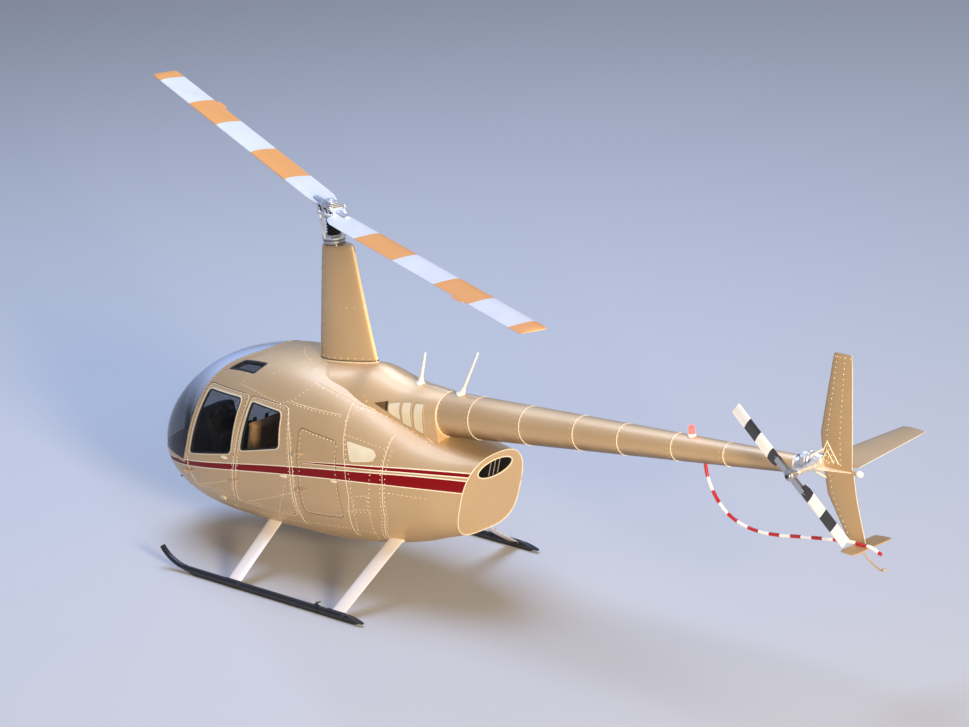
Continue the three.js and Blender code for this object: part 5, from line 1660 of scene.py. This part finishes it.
# The rotor head: a forged teetering hub with ridged plates on top, two blade grips with pitch horns,
# and two links down to the turning swashplate, over a ribbed black boot round the mast.
HUB_SIDE = [
    (-0.215, -0.036, 0.012), (-0.130, -0.062, 0.02), (0.130, -0.062, 0.02), (0.215, -0.036, 0.012),
    (0.215, 0.040, 0.012), (0.120, 0.060, 0.02), (-0.120, 0.060, 0.02), (-0.215, 0.040, 0.012),
]
HUB_HALF = 0.064
HUB_PLATES = 4
HUB_PLATE = {"half_long": 0.120, "half_wide": 0.074, "thick": 0.007, "pitch": 0.013}
HUB_BOLTS = ((-0.150, 0.024), (0.0, 0.032), (0.150, 0.024))
HUB_CAP = [(0.034, 3.440), (0.034, 3.552), (0.022, 3.560), (0.022, 3.572), (0.010, 3.576)]
HUB_NECK = [(0.046, 3.4068), (0.052, 3.412), (0.052, 3.452)]
GRIP = [(0.030, 0.150), (0.050, 0.168), (0.050, 0.200), (0.044, 0.215), (0.042, 0.330), (0.036, 0.420)]
LINK_TOP = (-0.030, 0.130, 3.468)
LINK_FOOT = (-0.030, 0.100, 3.226)
LINK_RADIUS = 0.012
LINK_BALL = 0.0145
HORN = [(-0.196, 0.030, 3.462), (-0.185, 0.075, 3.466), (-0.120, 0.115, 3.470), (-0.024, 0.131, 3.470)]
BOOT = {"low": 3.236, "high": 3.404, "ribs": 6, "outer": 0.066, "inner": 0.052}
UPPER_SWASH = [
    (0.0430, 3.202), (0.098, 3.202), (0.112, 3.208), (0.112, 3.224), (0.096, 3.229), (0.072, 3.230),
    (0.066, 3.240), (0.0430, 3.240),
]
LOWER_SWASH = [
    (0.049, 3.120), (0.0745, 3.120), (0.0745, 3.160), (0.100, 3.166), (0.104, 3.172), (0.104, 3.190),
    (0.098, 3.197), (0.049, 3.197),
]
silver = gloss("cast_silver", "bare_metal", (0.70, 0.69, 0.68, 1), 0.34, 0.60, 0.0, 260.0, 0.35)
steel = gloss("machined_steel", "bare_metal", (0.55, 0.56, 0.58, 1), 0.30, 0.9, 0.0, 500.0, 0.15)


def rotor_local(mesh, turn_sign=1):
    """Turns a mesh made on the mast's axis, with X along the blades, to the rotor's heading."""
    angle = ROTOR_HEADING + (0 if turn_sign > 0 else math.pi)
    to_mast = Matrix.Translation((MAST_X, 0, 0))
    mesh.transform(to_mast @ Matrix.Rotation(angle, 4, "Z") @ to_mast.inverted())
    return mesh


def hollow_turned(profile, sides=48):
    """A ring from a closed (radius, height) outline round the mast."""
    angle = angles(sides)
    points = np.concatenate([
        np.stack([radius * np.cos(angle), radius * np.sin(angle), np.full(sides, height)], axis=1)
        for radius, height in profile
    ])
    faces = []
    for i in range(len(profile)):
        k = (i + 1) % len(profile)
        for j in range(sides):
            m = (j + 1) % sides
            faces.append((i * sides + j, i * sides + m, k * sides + m, k * sides + j))
    return plain_mesh(points, faces)


def lathe_y(radius, half, x, z, sides=24, rim=0.003):
    return turned(
        [(radius - rim, -half), (radius, -half + rim), (radius, half - rim), (radius - rim, half)],
        (x, 0, z), (0, 1, 0), sides,
    )


def spar(points, radii, sides=16):
    return tube(points, radii, sides, 5)


def ball(place, radius):
    arc = np.linspace(0.2, math.pi - 0.2, 8)
    return turned([(radius * math.sin(a), -radius * math.cos(a)) for a in arc], place, sides=16)


hub_flat = [(x, ROTOR_HEIGHT + z, radius) for x, z, radius in HUB_SIDE]
hub = prism(hub_flat, "y", -HUB_HALF, HUB_HALF)
hub_parts = [lathe_y(radius, HUB_HALF + 0.016, x, ROTOR_HEIGHT, 6 if x else 24) for x, radius in HUB_BOLTS]
washers = [lathe_y(radius + 0.015, HUB_HALF + 0.004, x, ROTOR_HEIGHT, 28) for x, radius in HUB_BOLTS]
for level in range(HUB_PLATES):
    low = ROTOR_HEIGHT + 0.058 + level * HUB_PLATE["pitch"]
    shrink = level * 0.010
    wide, long = HUB_PLATE["half_wide"] - shrink, HUB_PLATE["half_long"] - shrink
    plate = [(-long, -wide, 0.015), (long, -wide, 0.015), (long, wide, 0.015), (-long, wide, 0.015)]
    hub_parts.append(prism(plate, "z", low, low + HUB_PLATE["thick"]))
hub_parts += [turned(profile, (0, 0, 0), sides=32) for profile in (HUB_CAP, HUB_NECK)]
washers = carved(washers[0], *plus(*washers[1:]))
show("hub_washers", rotor_local(washers), rubber_seal, "main_rotor")
hub = carved(hub, *plus(*hub_parts))
show("rotor_head_hub", rotor_local(hub), silver, "main_rotor", "rotor_hub", crease=25)
for word, sign in (("a", 1), ("b", -1)):
    grip = turned([(radius, reach) for radius, reach in GRIP], (0, 0, ROTOR_HEIGHT), (1, 0, 0.0437), 32)
    horn = spar([(-x, -y, z) for x, y, z in HORN], (0.020, 0.016, 0.014, 0.013))
    eye = lathe_y(0.020, 0.012, -HORN[-1][0], HORN[-1][2], 20)
    eye.transform(Matrix.Translation((0, -HORN[-1][1], 0)))
    grip = carved(grip, *plus(horn, eye))
    show(f"blade_grip_{word}", rotor_local(grip, sign), silver, "main_rotor")
    top, foot = [(-x, -y, z) for x, y, z in (LINK_TOP, LINK_FOOT)]
    link = spar([foot, top], (LINK_RADIUS, LINK_RADIUS))
    link = carved(link, *plus(ball(top, LINK_BALL), ball(foot, LINK_BALL)))
    show(f"pitch_link_{word}", rotor_local(link, sign), white_gloss, "main_rotor")
upper_swash = hollow_turned(UPPER_SWASH)
show("swashplate_turning", upper_swash, silver, "main_rotor", "swashplate_upper")
lower_swash = hollow_turned(LOWER_SWASH)
show("swashplate_fixed", lower_swash, steel, replaces="swashplate_lower")
boot_rise = (BOOT["high"] - BOOT["low"]) / BOOT["ribs"] / 2
boot = [
    (BOOT["outer"] if step % 2 else BOOT["inner"], BOOT["low"] + step * boot_rise)
    for step in range(2 * BOOT["ribs"] + 1)
]
boot = [(0.0425, BOOT["low"]), *boot, (0.0425, BOOT["high"])]
show("mast_boot", hollow_turned(boot), rubber_seal, "main_rotor")


# The tail rotor's gearbox is a finned light casting on the cone's end, braced to the fin by two flat
# straps. Its shaft carries a grey hub with a black centre nut.
GEARBOX_NOSE = [(0.060, -0.008), (0.084, -0.006), (0.084, 0.006), (0.070, 0.012), (0.066, 0.092)]
GEARBOX_CASE = [
    (0.030, 0.000), (0.062, 0.000), (0.076, 0.014), (0.078, 0.060), (0.070, 0.070), (0.080, 0.080),
    (0.080, 0.092), (0.072, 0.100), (0.080, 0.110), (0.080, 0.124), (0.072, 0.134), (0.078, 0.144),
    (0.074, 0.216), (0.050, 0.232), (0.028, 0.236),
]
OUTPUT_HOUSING = [
    (0.058, 0.020), (0.058, 0.082), (0.046, 0.090), (0.046, 0.100), (0.036, 0.108), (0.036, 0.150),
    (0.026, 0.158), (0.024, 0.256), (0.034, 0.262), (0.034, 0.290), (0.028, 0.297),
]
TAIL_HUB = [
    (0.020, 0.2972), (0.020, 0.340), (0.046, 0.346), (0.050, 0.352), (0.050, 0.396), (0.044, 0.402),
    (0.026, 0.404), (0.026, 0.414), (0.018, 0.416),
]
TAIL_NUT = [(0.019, 0.400), (0.019, 0.424), (0.012, 0.430)]
TX, TY, TZ = [TAIL_ROTOR[key] for key in "xyz"]
case = turned(GEARBOX_CASE, (5.680, 0, TZ), (1, 0, 0), 12)
nose = turned(GEARBOX_NOSE, (5.609, 0, 2.108), (1, 0, 0.08), 32)
output = turned(OUTPUT_HOUSING, (TX, 0, TZ), (0, -1, 0), 32)
filler = turned([(0.018, 0.070), (0.018, 0.098), (0.012, 0.104)], (5.765, 0, TZ), sides=6)
flange = turned(
    [(0.066, 0), (0.070, 0.004), (0.070, 0.012), (0.066, 0.016)], (5.672, 0, TZ - 0.01), (1, 0, 0), 8,
)
gearbox = carved(case, *plus(nose, output, filler, flange))
show("tail_gearbox_casting", gearbox, silver, replaces="tail_gearbox", crease=22)
hub = turned(TAIL_HUB, (TX, 0, TZ), (0, -1, 0), 32)
show("tail_hub", hub, steel, "tail_rotor", "tail_rotor_hub")
nut = turned(TAIL_NUT, (TX, 0, TZ), (0, -1, 0), 6)
show("tail_hub_nut", nut, rubber_seal, "tail_rotor", crease=20)
STRAPS = [
    [(5.790, -0.044, 2.225), (5.930, -0.010, 2.315)], [(5.790, 0.044, 2.225), (5.930, 0.010, 2.315)],
    [(5.790, -0.030, 2.105), (5.945, -0.008, 2.050)],
]
straps = [spar(ends, (0.0085, 0.0085), 12) for ends in STRAPS]
show("fin_straps", carved(straps[0], *plus(*straps[1:])), pale_gold_and_painted_highlight, slot="bare_metal")
GUSSET = [
    (5.850, -0.095, 0.01), (5.960, -0.095, 0.02), (6.238, -0.012, 0.005), (6.238, 0.010, 0),
    (5.850, 0.010, 0),
]
GUSSET_Z = (2.146, 2.152)
show("gearbox_gusset", prism(GUSSET, "z", *GUSSET_Z), pale_gold_and_painted_highlight)


# The tail blades are short, square and untwisted, on steel forks bolted through their roots. Each is
# white with a black root and a black band near its tip.
tail_paint = Finish("tail_blade_bands", "blade_paint")
x, y, z = tail_paint.place()
x, z = x - TX, z - TZ
reach = (x * x + z * z) ** 0.5 / TAIL_ROTOR["radius"]
dark = between(reach, *BLACK_BAND) + (reach < WHITE_START)
tail_paint.set(
    Base_Color=tail_paint.mix(dark, WHITE, (0.03, 0.03, 0.035, 1)),
    Roughness=tail_paint.noise(9.0, 3.0) * 0.15 + 0.3, Coat_Weight=0.2,
)
for word, turn_angle in (("a", 0), ("b", math.pi)):
    c, s = math.cos(TAIL_HEADING + turn_angle), math.sin(TAIL_HEADING + turn_angle)
    chord, radius = TAIL_ROTOR["chord"], TAIL_ROTOR["radius"]

    def tail_point(along, thick, span):
        return TX + c * span - s * along, TY + thick, TZ + s * span + c * along

    stations = [(-chord * 0.24, chord * 0.56, 0.150, 0.018)]
    stations += [(-chord * 0.3, chord * 0.7, span, 0.015) for span in (0.205, radius - 0.01)]
    stations.append((-chord * 0.26, chord * 0.66, radius, 0.006))
    fork = [tail_point(0, 0, reach) for reach in (0.0463, 0.110, 0.215)]
    plates = [
        [
            tail_point(along, thick, span)
            for along, thick in ((-0.030, low), (0.030, low), (0.030, low + 0.004), (-0.030, low + 0.004))
        ]
        for low in (-0.016, 0.012) for span in (0.048, 0.190)
    ]
    root = carved(
        spar(fork, (0.016, 0.013, 0.008), 16),
        *plus(*[skinned(np.array(plates[k:k + 2])) for k in (0, 2)]),
    )
    show(f"tail_blade_fork_{word}", root, steel, "tail_rotor")
    show(
        f"tail_rotor_blade_{word}", wing(stations, tail_point), tail_paint.material, "tail_rotor",
        f"tail_blade_{word}",
    )


# The cabin has two single seats in front and a bench behind, all on boxes. Each pad is foam in sewn
# tan leather with a welt round its face, and black belts lie over the backs.
leather = Finish("tan_leather", "seat_leather")
pores = leather.noise(700.0, 2.0, 0.6)
leather.bump(pores * 0.6 + leather.noise(60.0, 4.0) * 0.4, 0.35, 0.0009)
leather.set(
    Base_Color=leather.mix(leather.noise(7.0, 5.0), (0.74, 0.44, 0.20, 1), (0.60, 0.33, 0.14, 1)),
    Roughness=leather.noise(25.0, 3.0) * 0.2 + 0.38,
)
leather = leather.material
webbing = lining_finish("black_webbing", (0.016, 0.016, 0.018), 900.0, "interior_black")
CUSHION_VOXEL = 0.006
CUSHION_CAP = 0.016
CUSHION_FRAMES = 20
SEAT_SHAPES = {
    # outline in side view (x, z, corner radius), from the front edge of the pad
    "cushion": [(0.012, 0.790, 0.03), (0.400, 0.790, 0.03), (0.385, 0.905, 0.035), (0.012, 0.912, 0.045)],
    "back": [(0.415, 0.875, 0.035), (0.520, 0.850, 0.03), (0.608, 1.385, 0.04), (0.540, 1.392, 0.04)],
}
SEATS = {
    # front edge x, pad middles y, half width, how the outline is stretched along X, replaced node
    "front_left": (-1.400, (-0.310,), 0.196, 1.0, "front_seat_left"),
    "front_right": (-1.400, (0.310,), 0.196, 1.0, "front_seat_right"),
    "rear": (-0.665, (-0.278, 0.278), 0.255, 0.925, "rear_seat"),
}


def swollen(outline, half):
    """A pad from its side outline: remeshed evenly, then blown up a little as cloth."""
    holder = bpy.data.objects.new("pad", prism(outline, "y", -half, half))
    scene.collection.objects.link(holder)
    even = holder.modifiers.new("even", "REMESH")
    even.mode = "VOXEL"
    even.voxel_size = CUSHION_VOXEL
    soft = holder.modifiers.new("soft", "SMOOTH")
    soft.iterations = 12
    soft.factor = 0.6
    graph = bpy.context.evaluated_depsgraph_get()
    mesh = bpy.data.meshes.new_from_object(holder.evaluated_get(graph))
    bpy.data.objects.remove(holder)
    holder = bpy.data.objects.new("pad", mesh)
    scene.collection.objects.link(holder)
    cloth = holder.modifiers.new("cloth", "CLOTH")
    cloth.settings.use_pressure = True
    cloth.settings.uniform_pressure_force = 4.0
    cloth.settings.effector_weights.gravity = 0.0
    cloth.point_cache.frame_end = CUSHION_FRAMES
    start = np.empty(len(mesh.vertices) * 3)
    mesh.vertices.foreach_get("co", start)
    for step in range(1, CUSHION_FRAMES + 1):
        scene.frame_set(step)
    graph = bpy.context.evaluated_depsgraph_get()
    blown = bpy.data.meshes.new_from_object(holder.evaluated_get(graph))
    scene.frame_set(1)
    bpy.data.objects.remove(holder)
    end = np.empty(len(blown.vertices) * 3)
    blown.vertices.foreach_get("co", end)
    move = (end - start).reshape(-1, 3)
    reach = np.linalg.norm(move, axis=1)
    move *= np.minimum(1, CUSHION_CAP / np.maximum(reach, 1e-9))[:, None]
    blown.vertices.foreach_set("co", start + move.ravel())
    return blown


def welt(outline, half, surface, y):
    """The seam round a pad's face: a loop near the edges of its upper or front side."""
    (x0, z0, _), (x1, z1, _) = outline[-1], outline[-2]
    a, b = np.array([x0, z0]), np.array([x1, z1])
    inside = 0.030
    along = (b - a) / np.linalg.norm(b - a)
    a, b = a + along * inside, b - along * inside
    side = half - inside
    loop = [(*a, -side), (*b, -side), (*b, side), (*a, side), (*a, -side)]
    return stuck([(x, y + across_y, z) for x, z, across_y in loop], surface, 0.0005)


for name, (front, middles, half, stretch, node) in SEATS.items():
    for shape, outline in SEAT_SHAPES.items():
        outline = [(front + x * stretch, z, radius) for x, z, radius in outline]
        pad_mesh = swollen(outline, half)
        for number, middle in enumerate(middles, 1):
            mesh = pad_mesh.copy()
            mesh.transform(Matrix.Translation((0, middle, 0)))
            title = f"{name}_seat_{shape}" + (f"_{number}" if len(middles) > 1 else "")
            pad = show(title, mesh, leather, replaces=node, crease=80)
            round_off = pad.modifiers.new("round_off", "SUBSURF")
            round_off.levels = round_off.render_levels = 1
            loop = welt(outline, half, surface_of(mesh), middle)
            beaded(f"{title}_welt", [loop], 0.0042, leather)
BELT_HALF = 0.023
BELT_THICK = 0.003
BELT_GAP = 0.010
BELT_SHIFTS = (-0.075, 0.075)
SHOULDER_ENDS = ((0.385, 0.925), (0.522, 1.395))
LAP_BELT = [(0, 0.916, 0), (0.045, 0.918, 0), (0.045, 0.926, 0), (0, 0.924, 0)]
for name, (front, middles, half, stretch, _) in SEATS.items():
    for number, middle in enumerate(middles, 1):
        (low_x, low_z), (high_x, high_z) = [(front + x * stretch - BELT_GAP, z) for x, z in SHOULDER_ENDS]
        strap = [
            (low_x, low_z, 0), (high_x, high_z, 0), (high_x - BELT_THICK, high_z, 0),
            (low_x - BELT_THICK, low_z, 0),
        ]
        belts = [
            prism(strap, "y", middle + shift - BELT_HALF, middle + shift + BELT_HALF)
            for shift in BELT_SHIFTS
        ]
        lap = [(front + 0.30 * stretch + x, z, radius) for x, z, radius in LAP_BELT]
        belts.append(prism(lap, "y", middle - half + BELT_GAP, middle + half - BELT_GAP))
        title = f"{name}_belts" + (f"_{number}" if len(middles) > 1 else "")
        show(title, carved(belts[0], *plus(*belts[1:])), webbing)


# The instrument console stands on the floor ahead of the front seats, with round dials over a radio
# stack. The stick comes up from its pedestal with a cross bar and two grips; four pedals flank it.
matt_black = gloss("matt_black", "interior_black", (0.018, 0.018, 0.02, 1), 0.6, 0.0, 0.0, 500.0, 0.3)
dial_glass = gloss("dial_glass", "interior_black", (0.02, 0.022, 0.026, 1), 0.12, 0.0, 1.0, 40.0, 0.0)
CONSOLE = [
    (-2.048, 0.5605, 0.01), (-1.780, 0.5605, 0.01), (-1.780, 0.860, 0.03), (-1.850, 1.228, 0.04),
    (-2.048, 1.178, 0.05),
]
CONSOLE_HALF = 0.188
PEDESTAL = {"x": (-1.790, -1.502), "half": 0.079, "z": (0.5605, 0.799)}
FACE_LOW, FACE_HIGH = (-1.780, 0.860), (-1.850, 1.228)
RADIO_SHARES = (0.12, 0.24, 0.36)
RADIO_HALF = 0.045
RADIO_REACH = 0.090
DIALS = [(row, column) for row in (0.56, 0.82) for column in (-0.115, 0.0, 0.115)]
console_sides = prism(CONSOLE, "y", -CONSOLE_HALF, CONSOLE_HALF)
pedestal = block(PEDESTAL["x"], (-PEDESTAL["half"], PEDESTAL["half"]), PEDESTAL["z"])
face_way = Vector((FACE_HIGH[1] - FACE_LOW[1], 0, FACE_LOW[0] - FACE_HIGH[0])).normalized()


def face_point(share, y, out=0.0):
    x = FACE_LOW[0] + (FACE_HIGH[0] - FACE_LOW[0]) * share
    z = FACE_LOW[1] + (FACE_HIGH[1] - FACE_LOW[1]) * share
    return x + face_way.x * out, y, z + face_way.z * out


bezels = [
    turned([(0.046, -0.004), (0.046, 0.005), (0.041, 0.008)], face_point(row, column), face_way, 28)
    for row, column in DIALS
]
radios = []
for share in RADIO_SHARES:
    (low, _, low_z), (high, _, high_z) = [face_point(share + step, 0) for step in (-RADIO_HALF, RADIO_HALF)]
    band = [
        (low - 0.01, low_z, 0), (low + 0.008, low_z, 0.002), (high + 0.008, high_z, 0.002),
        (high - 0.01, high_z, 0),
    ]
    radios.append(prism(band, "y", -RADIO_REACH, RADIO_REACH))
console = carved(console_sides, *plus(pedestal, *bezels, *radios))
show("instrument_panel", console, matt_black, replaces="instrument_console")
for number, (row, column) in enumerate(DIALS, 1):
    lens = turned([(0.038, 0.006), (0.038, 0.0092), (0.030, 0.0100)], face_point(row, column), face_way, 28)
    show(f"dial_{number}", lens, dial_glass)
stick = carved(
    tube([(-1.560, 0, 0.8043), (-1.530, 0, 0.92), (-1.480, 0, 1.080)], (0.014, 0.013, 0.012)),
    *plus(tube([(-1.480, y, 1.075) for y in (-0.340, 0, 0.340)], (0.012, 0.012, 0.012))),
    *plus(
        *[
            tube([(-1.480, y, 1.080), (-1.478, y, 1.03), (-1.485, y, 0.980)], (0.015, 0.018, 0.014))
            for y in (-0.330, 0.330)
        ],
    ),
)
show("stick_and_bar", stick, matt_black, replaces="cyclic_stick")
PEDALS = {"a": -0.40, "b": -0.24, "c": 0.24, "d": 0.40}
for letter, y in PEDALS.items():
    bar = tube([(-2.020, y, 0.585), (-1.985, y, 0.66), (-1.960, y, 0.74)], (0.010, 0.010, 0.010), 12)
    ends = [(-1.960, y - 0.05, 0.74), (-1.960, y, 0.742), (-1.960, y + 0.05, 0.74)]
    foot = tube(ends, (0.012, 0.012, 0.012), 12)
    show(f"pedal_{letter}", carved(bar, *plus(foot)), matt_black)


# What is left of the frame keeps its own shape: engine, gearbox, decks, floor, bulkhead, mast and the
# fin's end plate take the finish of their own material.
bare_metal = gloss("bare_metal", "bare_metal", (0.62, 0.62, 0.63, 1), 0.36, 0.85, 0.0, 300.0, 0.2)
CAD_FINISHES = {
    "bare_metal": bare_metal, "interior_black": matt_black, "seat_leather": leather,
    "pale_paint": ivory_gloss, "body_paint": plain_gold, "clear_glass": clear_pane,
}
for part in frame["record"]["subparts"]:
    node = frame["nodes"][part["node"]]
    if part["material_slot"] in CAD_FINISHES:
        node.data.materials.clear()
        node.data.materials.append(CAD_FINISHES[part["material_slot"]])


size = {"cad": [list(map(float, corner)) for corner in cad_box]}
size["visual"] = [list(map(float, corner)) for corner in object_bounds()]
